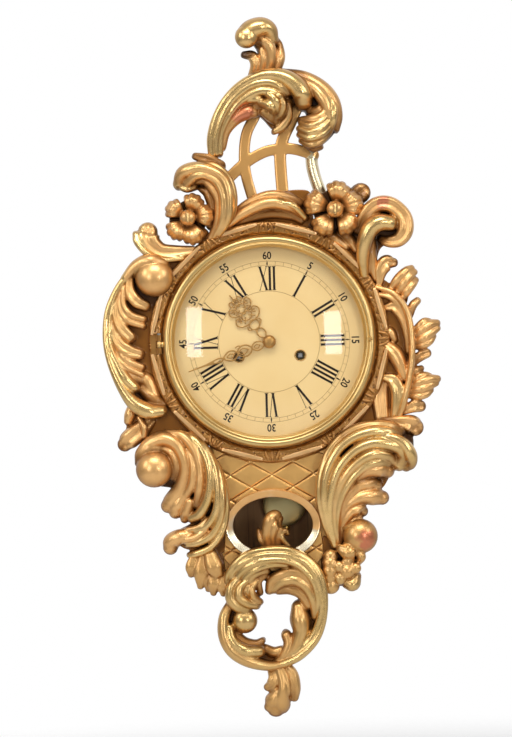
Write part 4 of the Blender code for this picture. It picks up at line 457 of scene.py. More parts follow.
        (ROUND, 0.3, [(-1, -208, 3, 9), (-2, -196, 3.5, 16), (1, -184, 4.5, 20), (5, -182, 3, 13)]),
        (ROUND, 0.2, [(4, -207, 3, 8), (3, -197, 3, 13), (6, -188, 3, 14)]),
        (ROUND, 0.6, [(13, -206, 3, 9), (8, -199, 2.5, 13), (7, -193, 2.5, 13), (11, -190, 2.5, 11),
                      (13, -194, 2, 8)]),
        (ROUND, 0.2, [(-8, -207, 3, 8), (-14, -198, 3, 10), (-16, -189, 2, 6)]),
    ],
    "lower_right_acanthus": [
        (ROUND, 0.7, [(59, -208, 2, 10), (50, -184, 2.5, 16), (45, -160, 2.5, 21), (47, -136, 3.1, 23),
                      (55, -114, 3.4, 23), (66, -100, 3.7, 20), (76, -93, 4.1, 16)]),
        (ROUND, 1.0, [(60, -208, 2.5, 11), (53, -182, 3.5, 18), (50, -156, 4, 24), (54, -131, 4.5, 27),
                      (66, -110, 4.6, 28), (82, -98, 5, 28), (100, -93, 6, 28), (116, -94, 5.7, 25),
                      (127, -98, 4.7, 18)]),
        (ROUND, 0.6, [(66, -99, 3, 18), (82, -90, 4, 21), (100, -86, 4.1, 22), (118, -88, 4.8, 20),
                      (130, -94, 4.1, 14)]),
        (ROUND, 0.8, [(61, -208, 2.5, 11), (56, -180, 3.5, 19), (57, -154, 4, 26), (65, -130, 4.5, 29),
                      (80, -113, 4.5, 30), (97, -105, 5.3, 30), (113, -105, 5.7, 29), (126, -110, 5.4, 26),
                      (131, -119, 6.3, 21), (127, -127, 6.3, 15)]),
        (ROUND, 1.0, [(104, -99, 3, 24), (119, -99, 4, 27), (131, -105, 5, 28), (137.5, -116, 6.2, 27),
                      (138, -125, 6, 21), (134, -129, 5, 14)]),
        (ROUND, 0.6, [(62, -208, 2.5, 10), (60, -178, 3.5, 18), (63, -155, 4, 23), (73, -135, 4, 27),
                      (88, -121, 4.8, 28), (103, -115, 5.3, 27), (116, -118, 5, 22), (122, -124, 4.1, 15)]),
        (ROUND, 0.9, [(63, -208, 2, 10), (63, -180, 3, 16), (68, -158, 3, 20), (80, -138, 3.6, 24),
                      (95, -126, 4.6, 25), (108, -123, 5, 22), (116, -125, 4.1, 15)]),
        (ROUND, 0.3, [(84, -139, 4, 18), (95, -132, 6, 22), (108, -131, 7.4, 20), (115, -133, 6.8, 13)]),
        (ROUND, 0.1, [(63, -206, 2.5, 9), (65, -182, 3.5, 13), (72, -162, 4.5, 16), (84, -148, 6.6, 17),
                      (97, -145, 7.3, 15), (104, -147, 5.4, 10)]),
        (ROUND, 0.3, [(64, -206, 2.5, 9), (66, -184, 3, 12), (73, -168, 4, 15), (86, -159, 6.6, 17),
                      (100, -158, 8.6, 15), (109, -160, 6.8, 9)]),
        (ROUND, 0.2, [(66, -202, 2.5, 8), (69, -187, 3.5, 11), (77, -174, 5.2, 14), (86, -171, 6.5, 13),
                      (89, -173, 5.4, 8)]),
        (ROUND, 0.4, [(67, -200, 2, 7), (70, -190, 2.5, 9), (77, -183, 3.4, 10), (86, -181, 3.4, 8)]),
        (HOLLOW, 0.1, [(112, -84, 5, 12), (128, -85, 7, 16), (140, -87, 8.8, 16), (144, -90, 8.3, 11)]),
    ],
    "lower_right_buds": [
        (ROUND, 0.3, [(86, -197.5, 17.5, 25)]),
        (ROUND, 0.5, [(70, -190, 2.5, 14), (78, -186, 3, 18), (89, -184, 2.5, 16)]),
        (LEAF, 0.4, [(65, -209, 4, 19), (72, -212, 7, 23), (80, -211, 4, 20)]),
        (LEAF, 0.4, [(72, -206, 4, 20), (74, -214, 6, 24), (76, -221, 3, 18)]),
        (ROUND, 0.4, [(83, -213, 4, 18), (86, -218, 4.5, 20), (83, -224, 3, 15)]),
        (ROUND, 0.1, [(66, -233, 15, 12)]),
        (ROUND, 0.3, [(55.5, -217, 7.3, 18)]),
        (ROUND, 0.3, [(55, -224, 7.8, 20)]),
        (ROUND, 0.3, [(54.5, -231, 7.8, 20)]),
        (ROUND, 0.3, [(54, -237.5, 7.2, 18)]),
        (ROUND, 0.4, [(55, -246, 9, 17)]),
        (ROUND, 0.1, [(71.5, -232, 7.6, 22)]),
        (ROUND, 0.4, [(63.5, -227, 6, 22)]),
        (ROUND, 0.4, [(64.5, -239, 6.3, 20)]),
        (ROUND, 0.4, [(80, -229, 5.8, 21)]),
        (ROUND, 0.4, [(72, -222.5, 5.8, 20)]),
        (ROUND, 0.5, [(72, -244, 6, 17), (77, -245, 7, 18), (80, -238, 5.5, 15)]),
    ],
    "right_branch": [
        (ROUND, 0.4, [(108, 52, 2, 9), (126, 45, 2.6, 14), (139, 26, 2.8, 17), (143, -3, 2.8, 18),
                      (141, -32, 3, 17), (134, -62, 3, 15), (127, -82, 2.6, 10)]),
        (ROUND, 0.3, [(109, 45, 2, 8), (122, 41, 2.4, 12), (132, 32, 2.4, 13)]),
        (HOLLOW, 0.4, [(112, 55, 3, 9), (114, 68, 6.5, 14), (120, 76, 7.5, 14), (127, 76, 4.5, 8)]),
        (ROUND, 0.3, [(123, 49, 3, 9), (130, 59, 4, 14), (139, 67, 4, 14), (145, 70, 3, 9)]),
        (ROUND, 0.3, [(129, 44, 3, 9), (136, 54, 4, 15), (143, 62, 4, 14), (148, 66, 3, 9)]),
        (ROUND, 0.2, [(134, 38, 3, 9), (140, 47, 4, 14), (146, 54, 3.5, 13), (149, 58, 3, 8)]),
        (ROUND, 0.3, [(142, 22, 3, 9), (145, 32, 4, 12), (150, 37, 3.5, 9)]),
        (ROUND, 0.3, [(145, 4, 3, 9), (150, 11, 3.4, 13), (156, 16, 3.4, 13), (161, 16, 3, 9)]),
        (ROUND, 0.3, [(144, 0, 3, 9), (153, 7, 4.2, 15), (162, 13, 4.2, 14), (169, 14, 3.5, 9)]),
        (ROUND, 0.2, [(144, -5, 3, 9), (154, -1, 4.2, 15), (163, 5, 4.2, 13), (169, 9, 3.5, 9)]),
        (ROUND, 0.3, [(145, -9, 3, 8), (154, -8, 3.6, 13), (161, -4, 3.6, 12), (165, 1, 3, 8)]),
        (HOLLOW, 0.3, [(144, -26, 3, 8), (151, -19, 4.8, 12), (158, -16, 4.5, 9)]),
        (ROUND, 0.3, [(142, -46, 3, 9), (148, -40, 3.4, 13), (155, -38, 3.4, 12), (160, -39, 3, 9)]),
        (ROUND, 0.3, [(141, -50, 3, 9), (150, -45, 4.2, 15), (160, -42, 4.2, 14), (168, -42, 3.5, 9)]),
        (ROUND, 0.2, [(140, -54, 3, 9), (150, -52, 4.2, 15), (160, -48, 4.2, 13), (166, -46, 3.5, 9)]),
        (ROUND, 0.3, [(139, -58, 3, 8), (148, -59, 3.6, 13), (156, -57, 3.6, 12), (161, -53, 3, 8)]),
        (ROUND, 0.3, [(142, -38, 3, 9), (147, -33, 3.4, 11), (152, -31, 3, 7)]),
        (HOLLOW, 0.3, [(134, -74, 3, 9), (143, -69, 6, 13), (150, -69, 5.5, 9)]),
        (HOLLOW, 0.3, [(118, 31, 3, 9), (127, 31, 5.5, 14), (135, 20, 5, 15), (139, 4, 4, 14),
                       (140, -14, 3, 11)]),
        (VEINED, 0.2, [(116, -5, 4, 9), (124, -13, 7, 15), (130, -24, 7, 15), (135, -40, 4, 12)]),
        (ROUND, 0.2, [(116, 9, 4, 6), (122, 6, 4.5, 9), (126, -2, 3, 8)]),
        (HOLLOW, 0.6, [(114, -39, 3, 10), (123, -42, 6, 15), (128, -54, 7, 16), (127, -70, 6.5, 14),
                       (124, -82, 5, 10)]),
        (HOLLOW, 0.1, [(113, -46, 5, 8), (110, -60, 8, 11), (111, -79, 7, 11)]),
    ],
    "pendant_scroll": [
        (ROUND, 0.9, [(-50, -244, 2.5, 13), (-46, -228, 3, 21), (-30, -213, 3.5, 25), (-8, -208, 3.5, 26),
                      (14, -209, 3.5, 26), (33, -219, 3.5, 24), (45, -236, 3.5, 23), (48.5, -258, 3, 21),
                      (46, -282, 3, 19), (37.5, -301, 3.5, 18), (21.5, -316, 4, 17), (4, -324, 4, 14)]),
        (ROUND, 0.8, [(-46, -244, 2.5, 14), (-41, -228, 3, 22), (-26, -217, 3.5, 27), (-8, -213, 3.5, 28),
                      (12, -214, 3.5, 28), (30, -222, 3.5, 26), (42, -240, 3.5, 24), (45, -262, 3, 21),
                      (41, -283, 3, 18), (31.5, -301, 3.5, 16), (14.5, -314.5, 3.5, 14)]),
        (ROUND, 0.9, [(-41, -246, 3, 15), (-35, -231, 3.5, 23), (-21, -221, 4, 28), (-4, -218, 3.5, 29),
                      (14, -220, 3.5, 28), (28, -229, 3, 25), (38, -243, 3, 23), (41.5, -262, 2.5, 20),
                      (39.5, -279, 2.5, 14)]),
        (ROUND, 0.8, [(-35, -246, 3, 16), (-29, -234, 3.5, 23), (-17, -226, 3.5, 27), (-2, -223, 3, 26),
                      (12, -224, 2.5, 23)]),
        (ROUND, 0.6, [(-27, -240, 3, 20), (-20, -232, 3.5, 23), (-8, -229, 3, 21)]),
        (ROUND, 0.4, [(-16, -252, 3, 12), (-17, -240, 3, 18), (-10, -233, 3, 18)]),
        (ROUND, 0.7, [(-36, -234, 3, 20), (-45, -244, 4, 23), (-46, -255, 5, 23), (-40, -264, 5.5, 22),
                      (-30, -268, 5, 19)]),
        (ROUND, 0.6, [(-28, -238, 3, 21), (-36, -245, 4, 25), (-37, -254, 4.5, 26), (-30, -261, 4.5, 24),
                      (-20, -264, 4, 18)]),
        (ROUND, 0.5, [(-18, -238, 2.5, 19), (-24, -246, 3, 22), (-23, -255, 3.5, 22), (-16, -261, 3, 16)]),
        (ROUND, 0.6, [(-28, -243, 3, 20), (-29, -249, 4, 21), (-26, -254, 3, 19)]),
        (ROUND, 0.6, [(-32.5, -279, 13, 20)]),
        (ROUND, 0.5, [(-46, -261, 4, 14), (-53, -275, 5, 19), (-53.5, -293, 5.5, 21), (-46, -309, 5.5, 22),
                      (-30, -319, 6, 22), (-10, -325, 4.5, 18), (6, -324, 3, 13)]),
        (ROUND, 0.8, [(-48, -284, 3.5, 18), (-46, -296, 4.5, 21), (-40, -304, 5.5, 23), (-31, -309, 6, 24),
                      (-18, -310, 5.5, 20)]),
        (ROUND, 0.1, [(-42, -292, 4, 11), (-33, -301, 5, 13), (-22, -303, 4, 12), (-15, -300, 3, 10)]),
        (ROUND, 0.3, [(-7, -250, 4, 13), (-4, -240, 5, 18), (6, -233, 5, 22), (18, -231, 5, 23),
                      (28, -236, 4, 22), (36, -250, 3, 19)]),
        (ROUND, 0.5, [(-3, -249, 4, 14), (6, -241, 6, 20), (18, -239, 6, 23), (29, -246, 5, 22),
                      (36, -260, 4, 19), (38, -278, 3, 13)]),
        (ROUND, 0.2, [(2, -250, 4, 12), (14, -249, 5, 16), (25, -254, 5, 17), (32, -266, 4, 15)]),
        (ROUND, 0.5, [(22, -268, 7, 15), (23, -279, 9.5, 19), (24, -292, 8, 18), (18, -306, 6, 16),
                      (8, -317, 4, 12)]),
        (ROUND, 0.2, [(9, -295, 5, 11), (11, -304, 5, 13), (5, -316, 4, 12), (-2, -322, 3, 9)]),
        (ROUND, 0.2, [(-12, -308, 4, 10), (-4, -312, 5, 10), (3, -310, 4, 9)]),
    ],
    "pendant_drop": [
        (ROUND, 0.2, [(-1, -325, 4, 11), (3, -338, 4, 15), (4, -350, 5, 17), (1, -363, 10, 14),
                      (-3, -368, 9, 9)]),
        (ROUND, 0.1, [(0, -352, 6, 14), (-6, -361, 8, 13), (-10, -367, 5, 8)]),
        (ROUND, 0.3, [(3, -326, 2.5, 11), (8, -338, 2.5, 14), (9, -350, 3, 14), (6, -358, 3, 11)]),
        (HOLLOW, 0.2, [(-7, -328, 4, 10), (-5, -337, 5, 14), (-7, -344, 5.5, 14), (-11, -347, 4, 9)]),
        (VEINED, 0.3, [(8, -325, 4, 9), (14.5, -335, 5, 12), (16, -348, 5.5, 12), (15, -358, 4.5, 8)]),
    ],
}

# Flowers: middle (x, z), button radius, and each petal's turn in degrees with its length
FLOWERS = {
    "left_flower": ((-78, 126), 8.2, [(70, 27), (146, 26.5), (224, 27.5), (287, 28.5), (6, 28)]),
    "right_flower": ((69.4, 130.6), 8.6, [(79, 30.5), (15, 31), (160, 33), (233, 31), (309, 31)]),
}
FLOWER_HEIGHT = 25.0
PETAL_SHINE = 0.3
PETAL_FOLDS = (-21, -7, 7, 21)
FOLD_SHARE = 0.125
FOLD_SHORTENING = 0.14
FOLD_LOWERING = 0.12
FOLD_START = 0.7
BUTTON_RISE = 1
BUTTON_SHINE = 0.4
FACE_SHARE = 0.62
FACE_RISE = 2.5
FACE_HALF = 0.4
FACE_SHINE = 0.6

# Along a petal's fold: share of its length, share of its half-width, and drop from the flower's height
FOLD_LINE = ((0.36, 0.45, 8), (0.6, 0.72, 2), (0.84, 0.95, 0), (1.0, 0.95, 4))


def petal(middle, turn, length):
    """Folds side by side that fan out from the flower's middle, the outer two a little shorter and lower."""
    fold_half = length * FOLD_SHARE
    folds = []
    for lean in PETAL_FOLDS:
        reach = length - fold_half - abs(lean) * FOLD_SHORTENING
        line = []
        for share, half, drop in FOLD_LINE:
            angle = math.radians(turn + lean * (FOLD_START + (1 - FOLD_START) * share))
            x = middle[0] + reach * share * math.cos(angle)
            z = middle[1] + reach * share * math.sin(angle)
            line.append((x, z, fold_half * half, FLOWER_HEIGHT - drop - abs(lean) * FOLD_LOWERING))
        folds.append((ROUND, PETAL_SHINE, line))
    return folds


def button(middle, radius):
    """The flower's eye: a dome with a flat face."""
    x, z = middle
    dome = [(x, z, radius, FLOWER_HEIGHT + BUTTON_RISE)]
    face = [(x + side * FACE_HALF, z, radius * FACE_SHARE, FLOWER_HEIGHT + FACE_RISE) for side in (-1, 1)]
    return [(ROUND, BUTTON_SHINE, dome), (FLAT, FACE_SHINE, face)]


for flower, (middle, radius, petals) in FLOWERS.items():
    STROKES[flower] = button(middle, radius)
    for turn, length in petals:
        STROKES[flower] += petal(middle, turn, length)
STROKES["right_flower"] += [
    (HOLLOW, 0.2, [(82, 136, 7, 8), (91, 143, 9, 13), (96, 147, 9.5, 11)]),
    (ROUND, 0.3, [(56, 108, 3, 7), (68, 102, 4.5, 11), (80, 93, 4, 9)]),
    (ROUND, 0.2, [(72, 108, 3, 7), (82, 102, 4.5, 11), (90, 90, 4, 8)]),
]
STROKES["left_flower"].append((HOLLOW, 0.2, [(-71, 118, 4, 11), (-65, 109, 7, 15), (-63, 106, 6, 10)]))

# Outlines (x, z) of the solid ground that the strokes rise from
GROUNDS = {
    "top_left_volute": [
        [(-116, 80), (-106, 90), (-90, 96), (-74, 97), (-82, 86), (-94, 73), (-104, 60), (-112, 66)],
    ],
    "left_flower": [
        [(-97, 126), (-91, 112), (-78, 106), (-64, 113), (-59, 128), (-67, 142), (-84, 143)],
    ],
    "right_flower": [
        [(48, 131), (54, 115), (69, 109), (85, 114), (91, 131), (85, 146), (70, 151), (54, 146)],
        [(40, 113), (58, 103), (76, 90), (92, 75), (100, 88), (99, 108), (90, 120), (74, 118), (52, 122)],
    ],
    "crest_left_scroll": [
        [(-56, 106), (-40, 122), (-38, 150), (-44, 168), (-58, 173), (-78, 165), (-66, 158), (-56, 142),
         (-54, 120)],
    ],
    "top_right_volute": [
        [(98, 66), (94, 90), (94, 112), (102, 126), (116, 133), (130, 127), (136, 112), (130, 100),
         (120, 95), (113, 88), (110, 74), (109, 60), (100, 58)],
    ],
    "left_acanthus": [
        [(-118, 82), (-138, 74), (-152, 52), (-160, 20), (-160, -8), (-152, -36), (-138, -60), (-118, -68),
         (-106, -66), (-112, -40), (-116, -10), (-116, 20), (-108, 50)],
    ],
    "left_lower_leaves": [
        [(-120, -72), (-134, -66), (-142, -62), (-145, -75), (-147, -96), (-138, -93), (-122, -80)],
        [(-126, -62), (-110, -58), (-98, -68), (-84, -84), (-88, -96), (-108, -97), (-129, -94)],
    ],
    "lower_left_volute": [
        [(-126, -106), (-108, -92), (-88, -87), (-70, -102), (-57, -122), (-51, -150), (-53, -180),
         (-63, -197), (-84, -207), (-98, -200), (-97, -188), (-83, -179), (-90, -164), (-102, -159),
         (-98, -146), (-122, -140), (-132, -126)],
        [(-90, -198), (-66, -194), (-51, -190), (-47, -204), (-58, -213), (-82, -210)],
    ],
    "lower_right_acanthus": [
        [(61, -206), (50, -180), (48, -150), (56, -124), (69, -102), (87, -89), (120, -85), (140, -92),
         (140, -122), (122, -132), (110, -150), (95, -156), (87, -172), (73, -185), (67, -203)],
    ],
    "lower_right_buds": [
        [(52, -216), (66, -208), (79, -190), (96, -190), (97, -201), (85, -211), (79, -228), (78, -242),
         (58, -248), (52, -238)],
        [(49, -197), (60, -200), (70, -187), (80, -189), (75, -206), (60, -214), (54, -232), (47, -236),
         (46, -214)],
    ],
    "right_branch": [
        [(100, 66), (112, 62), (124, 54), (134, 42), (141, 24), (144, -2), (142, -34), (136, -62),
         (128, -88), (106, -94), (88, -92), (100, -70), (112, -38), (118, 0), (114, 34)],
        [(84, -88), (95, -72), (104, -60), (114, -66), (106, -92)],
        [(130, 46), (135, 58), (144, 66), (147, 60), (142, 44), (138, 34)],
        [(143, -10), (145, 6), (156, 14), (166, 12), (162, -2), (154, -9)],
        [(140, -60), (142, -44), (154, -40), (166, -43), (158, -55), (150, -60)],
    ],
    "ring_top_leaf": [
        [(-42, 112), (-30, 132), (-10, 144), (14, 150), (34, 152), (46, 148), (48, 128), (44, 113),
         (20, 119), (0, 121), (-20, 119)],
    ],
    "crest_scroll": [
        [(-51, 190), (-50, 210), (-43, 230), (-27, 249), (-5, 261), (25, 264), (49, 255), (66, 240),
         (74, 222), (72, 209), (57, 196), (45, 199), (40, 210), (44, 226), (34, 238), (24, 230), (12, 213),
         (0, 224), (-10, 232), (-24, 227), (-36, 211), (-44, 192)],
    ],
    "crest_finial": [
        [(-6, 268), (17, 271), (18, 290), (13, 306), (2, 311), (-7, 303), (-2, 285)],
    ],
    "pendant_scroll": [
        [(-46, -244), (-38, -225), (-19, -213), (10, -210), (33, -222), (45, -243), (47, -266), (43, -290),
         (32, -306), (12, -320), (-10, -325), (-8, -317), (13, -306), (22, -290), (25, -270), (18, -254),
         (2, -247), (-14, -240), (-26, -254)],
        [(-43, -244), (-24, -244), (-24, -262), (-31, -284), (-42, -291), (-44, -300), (-30, -311),
         (-10, -315), (-4, -323), (-22, -325), (-40, -316), (-52, -300), (-56, -280), (-49, -263)],
    ],
    "aperture_finial": [
        [(-12, -209), (12, -209), (9, -196), (3, -181), (-5, -184), (-11, -193)],
    ],
    "apron_left_leaves": [
        [(-55, -208), (-78, -209), (-86, -219), (-84, -231), (-77, -241), (-69, -246), (-58, -250),
         (-50, -245)],
    ],
    "pendant_drop": [
        [(-8, -325), (11, -325), (15, -350), (8, -358), (-5, -363), (-8, -345)],
    ],
}

# The crest's openwork bars: section, burnish, half-width and middle line
LATTICE_BARS = [
    (FLAT, 0.3, 5.6, [(-8, 228), (-17, 210), (-20, 188), (-18.5, 168), (-13, 146)]),
    (FLAT, 0.1, 6.2, [(34, 234), (28, 221), (20, 205), (16.5, 190), (16.5, 172), (18, 146)]),
    # The right bar is fully burnished, so painted nearly white as a highlight
    (ROUND, 1.0, 6.3, [(49, 199), (48, 180), (51, 164), (57, 146)]),
    (FLAT, 0.2, 5.7, [(-36, 166), (-20, 180), (0, 191), (18, 194), (32, 193), (50, 187)]),
]


class Value:
    """An output of a node, so that maths on it is written as Python."""

    def __init__(self, nodes, socket):
        self.nodes = nodes
        self.socket = socket

    def maths(self, operation, *values):
        return self.nodes.add("ShaderNodeMath", {"operation": operation}, dict(enumerate(values)))

    def __add__(self, other):
        return self.maths("ADD", self, other)

    def __radd__(self, other):
        return self.maths("ADD", other, self)

    def __sub__(self, other):
        return self.maths("SUBTRACT", self, other)

    def __rsub__(self, other):
        return self.maths("SUBTRACT", other, self)

    def __mul__(self, other):
        return self.maths("MULTIPLY", self, other)

    def __rmul__(self, other):
        return self.maths("MULTIPLY", other, self)

    def __truediv__(self, other):
        return self.maths("DIVIDE", self, other)

    def __neg__(self):
        return self.maths("MULTIPLY", self, -1.0)


class Nodes:
    """A node tree in the making."""

    def __init__(self, tree):
        self.tree = tree

    def add(self, kind, settings=None, inputs=None, output=0):
        node = self.tree.nodes.new(kind)
        for name, setting in (settings or {}).items():
            setattr(node, name, setting)
        for name, value in (inputs or {}).items():
            if isinstance(value, Value):
                self.tree.links.new(value.socket, node.inputs[name])
            else:
                node.inputs[name].default_value = value
        return Value(self, node.outputs[output]) if len(node.outputs) else None

    def larger(self, first, second):
        return self.add("ShaderNodeMath", {"operation": "MAXIMUM"}, {0: first, 1: second})

    def step(self, value, low, high, least=0.0):
        """From least at low to 1 at high, eased at both ends."""
        return self.add("ShaderNodeMapRange", {"interpolation_type": "SMOOTHSTEP"},
                        {"Value": value, "From Min": low, "From Max": high, "To Min": least})


def tint(red, green, blue):
    """A screen colour of 0 to 255 as the linear colour that renders so."""
    def linear(level):
        level /= 255
        return level / 12.92 if level <= 0.04045 else ((level + 0.055) / 1.055) ** 2.4
    return (linear(red), linear(green), linear(blue), 1.0)


class Finish(Nodes):
    """A material in the making."""

    def __init__(self, name):
        self.material = bpy.data.materials.new(name)
        self.material.use_nodes = True
        super().__init__(self.material.node_tree)
        self.tree.nodes.clear()
        self.place = self.add("ShaderNodeTexCoord", output="Object")

    def noise(self, scale, detail=3.0, stretch=None):
        place = self.place
        if stretch:
            place = self.add("ShaderNodeMapping", None, {"Vector": place, "Scale": stretch})
        return self.add("ShaderNodeTexNoise", None, {"Vector": place, "Scale": scale, "Detail": detail})

    def attribute(self, name):
        return self.add("ShaderNodeAttribute", {"attribute_name": name}, output="Fac")

    def blend(self, share, first, second, how="MIX"):
        settings = {"data_type": "RGBA", "blend_type": how}
        return self.add("ShaderNodeMix", settings, {0: share, 6: first, 7: second}, output=2)

    def away_from(self, x, d, z):
        """Distance in millimetres from a place on the clock."""
        ends = {0: self.place, 1: spot(x, d, z)}
        return self.add("ShaderNodeVectorMath", {"operation": "DISTANCE"}, ends, output="Value") / MM

    def depth(self):
        """Distance from the wall in millimetres."""
        return self.add("ShaderNodeSeparateXYZ", None, {"Vector": self.place}, output="Y") / -MM

    def bump(self, height, strength, distance):
        return self.add("ShaderNodeBump", None,
                        {"Height": height, "Strength": strength, "Distance": distance * MM})

    def surface(self, inputs):
        return self.show(self.add("ShaderNodeBsdfPrincipled", None, inputs))

    def show(self, shader):
        self.add("ShaderNodeOutputMaterial", None, {"Surface": shader})
        return self.material


BURNISHED_GOLD = tint(238, 198, 131)
MATTE_GOLD = tint(240, 187, 120)
WARM_GOLD = tint(217, 162, 92)
OLIVE_GOLD = tint(199, 162, 87)
GOLD_SHADOW = tint(142, 90, 30)
DEEP_SHADOW = tint(69, 40, 10)
RED_BOLE = tint(206, 110, 82)
BARE_WOOD = tint(134, 94, 56)
DARK_WOOD = tint(92, 60, 33)

# Noise scales of the finishes, in cycles to the metre
CLOUDS = 38.0
WARM_CLOUDS = 90.0
WORN_CLOUDS = 120.0
LEAF_GRAIN = 1300.0
CARVED_WOOD_GRAIN = 70.0
UP_THE_GRAIN = (1.0, 1.0, 0.07)

# Gilding: the ranges over which it changes. Depths are millimetres below the carving near by
GROOVE_RANGE = (0.05, 0.7)
DEEP_GROOVE_RANGE = (0.6, 1.5)
SUNK_RANGE = (1.5, 12.0)
DEEP_SUNK_RANGE = (10.0, 22.0)
CROWN_RANGE = (0.15, 0.9)
BURNISH_RANGE = (0.3, 0.75)
WARM_RANGE = (0.35, 0.75)
FIGURE_RANGE = (0.35, 0.68)
BACK_RANGE = (CARVING_BACK + 0.6, CARVING_BACK + 3.0)
GROUND_FADE = 4.0
GROOVE_CLOUDING = 0.3
SUNK_CLOUDING = 4
BURNISH_CLOUDING = 0.7
WORN_CLOUDING = 14
SUNK_SHARE = 0.85
DEEP_SUNK_SHARE = 0.9
CROWN_SHARE = 0.25
WARM_SHARE = 0.4
WORN_SHARE = 0.8
WORN_CORE = 0.55


def gilding(name, matte, burnished, shadow, worn_spots=(), ground=0.0):
    """Leaf gold over gesso: burnished on the crowns, matte between, brown in the hollows.

    The burnished gold is paler, partly a painted highlight, and the brown of the hollows is painted shade
    with a little patina. What lies less than about ground from the wall is painted shadow brown all over,
    and a carving's back is bare wood.
    """
    f = Finish(name)
    recess = f.attribute("recess")
    sunk = f.attribute("sunk")
    shine = f.attribute("shine")
    cloud = f.noise(CLOUDS)
    grain = f.noise(LEAF_GRAIN, 2.0)
    # Painted shade, with a little patina: grooves, sunk places and the low ground turn shadow brown
    groove = f.step(recess + (cloud - 0.5) * GROOVE_CLOUDING, *GROOVE_RANGE)
    low = f.step(sunk + (cloud - 0.5) * SUNK_CLOUDING, *SUNK_RANGE)
    flat = 1 - f.step(f.depth(), ground, ground + GROUND_FADE)
    hollow = f.larger(groove, f.larger(low * SUNK_SHARE, flat))
    deep = f.larger(f.step(recess, *DEEP_GROOVE_RANGE), f.step(sunk, *DEEP_SUNK_RANGE) * DEEP_SUNK_SHARE)
    # Painted highlight, partly real burnish: crowns and burnished strokes take the paler burnished colour
    crown = f.step(-recess, *CROWN_RANGE)
    burnish = f.step(shine + (cloud - 0.5) * BURNISH_CLOUDING + crown * CROWN_SHARE, *BURNISH_RANGE)
    warm = f.step(f.noise(WARM_CLOUDS), *WARM_RANGE) * WARM_SHARE
    colour = f.blend(burnish, matte, burnished)
    colour = f.blend(warm, colour, f.blend(burnish, WARM_GOLD, OLIVE_GOLD))
    colour = f.blend(hollow, colour, shadow)
    colour = f.blend(deep, colour, DEEP_SHADOW)
    for x, d, z, radius in worn_spots:
        away = f.away_from(x, d, z) + (f.noise(WORN_CLOUDS) - 0.5) * WORN_CLOUDING
        near = 1 - f.step(away, radius * WORN_CORE, radius)
        colour = f.blend(near * WORN_SHARE * (1 - hollow), colour, RED_BOLE)
    back = 1 - f.step(f.depth(), *BACK_RANGE)
    figure = f.noise(CARVED_WOOD_GRAIN, 5.0, UP_THE_GRAIN)
    colour = f.blend(back, colour, f.blend(f.step(figure, *FIGURE_RANGE), BARE_WOOD, DARK_WOOD))
    dull = f.larger(hollow, back)
    metallic = 0.92 + burnish * 0.06 - back * 0.9
    roughness = 0.37 - burnish * 0.09 + dull * 0.22 + (grain - 0.5) * 0.08
    return f.surface({"Base Color": colour, "Metallic": metallic, "Roughness": roughness,
                      "Coat Weight": 0.5, "Coat Roughness": 0.18,
                      "Normal": f.bump((grain + cloud * 2) * (1 - burnish), 0.25, 0.25)})


def polished_brass(name, colour, roughness, darker):
    """Lacquered brass with faint turning marks and a little tarnish."""
    f = Finish(name)
    cloud = f.noise(45.0)
    streak = f.noise(600.0, 2.0)
    tarnish = f.step(cloud, 0.5, 0.8) * 0.5
    shade = f.blend(tarnish, colour, darker)
    dulled = roughness + cloud * 0.1 + streak * 0.05
    return f.surface({"Base Color": shade, "Metallic": 1.0, "Roughness": dulled,
                      "Normal": f.bump(streak, 0.02, 0.05)})


def steel(name, colour):
    f = Finish(name)
    streak = f.noise(500.0, 2.0)
    shade = f.blend(f.step(f.noise(60.0), 0.4, 0.8), colour, tint(120, 120, 118))
    return f.surface({"Base Color": shade, "Metallic": 1.0, "Roughness": 0.28 + streak * 0.15})


def wood(name, light, dark, ring_scale):
    """Stained board with the grain running up the case."""
    f = Finish(name)
    grain = f.noise(ring_scale, 5.0, (1.0, 1.0, 0.06))
    pore = f.noise(ring_scale * 9, 2.0, (1.0, 1.0, 0.03))
    colour = f.blend(f.step(grain, 0.35, 0.68), light, dark)
    colour = f.blend(f.step(pore, 0.55, 0.75) * 0.5, colour, dark, "MULTIPLY")
    return f.surface({"Base Color": colour, "Roughness": 0.55 + grain * 0.2,
                      "Normal": f.bump(pore + grain, 0.3, 0.3)})


def dial_cream():
    f = Finish("dial_cream")
    cloud = f.noise(22.0, 4.0)
    speck = f.noise(700.0, 2.0)
    colour = f.blend(f.step(cloud, 0.3, 0.75), tint(230, 199, 137), tint(225, 191, 127))
    colour = f.blend(f.step(speck, 0.66, 0.8) * 0.25, colour, tint(206, 170, 104))
    return f.surface({"Base Color": colour, "Roughness": 0.36 + cloud * 0.12})


def print_ink(name, colour):
    f = Finish(name)
    wear = f.step(f.noise(900.0, 2.0), 0.62, 0.85)
    return f.surface({"Base Color": f.blend(wear * 0.5, colour, tint(90, 66, 40)), "Roughness": 0.7,
                      "Specular IOR Level": 0.15})


def clear_glass():
    """Glass that mirrors where a ray enters it and lets it leave freely."""
    f = Finish("clear_glass")
    edge = f.add("ShaderNodeFresnel", None, {"IOR": 1.5})
    leaving = f.add("ShaderNodeNewGeometry", output="Backfacing")
    mirror = f.add("ShaderNodeBsdfGlossy", None, {"Roughness": 0.05})
    through = f.add("ShaderNodeBsdfTransparent")
    return f.show(f.add("ShaderNodeMixShader", None, {0: edge * (1 - leaving), 1: through, 2: mirror}))


def pale_floor(height):
    """A floor that fades into the white behind it."""
    f = Finish("pale_floor")
    colour = f.blend(f.noise(60.0) * 0.2, tint(226, 226, 224), tint(250, 250, 250))
    faded = f.step(f.away_from(0, 0, height), FLOOR_CLEAR, FLOOR_GONE)
    return f.surface({"Base Color": colour, "Roughness": 0.7, "Alpha": 1 - faded})


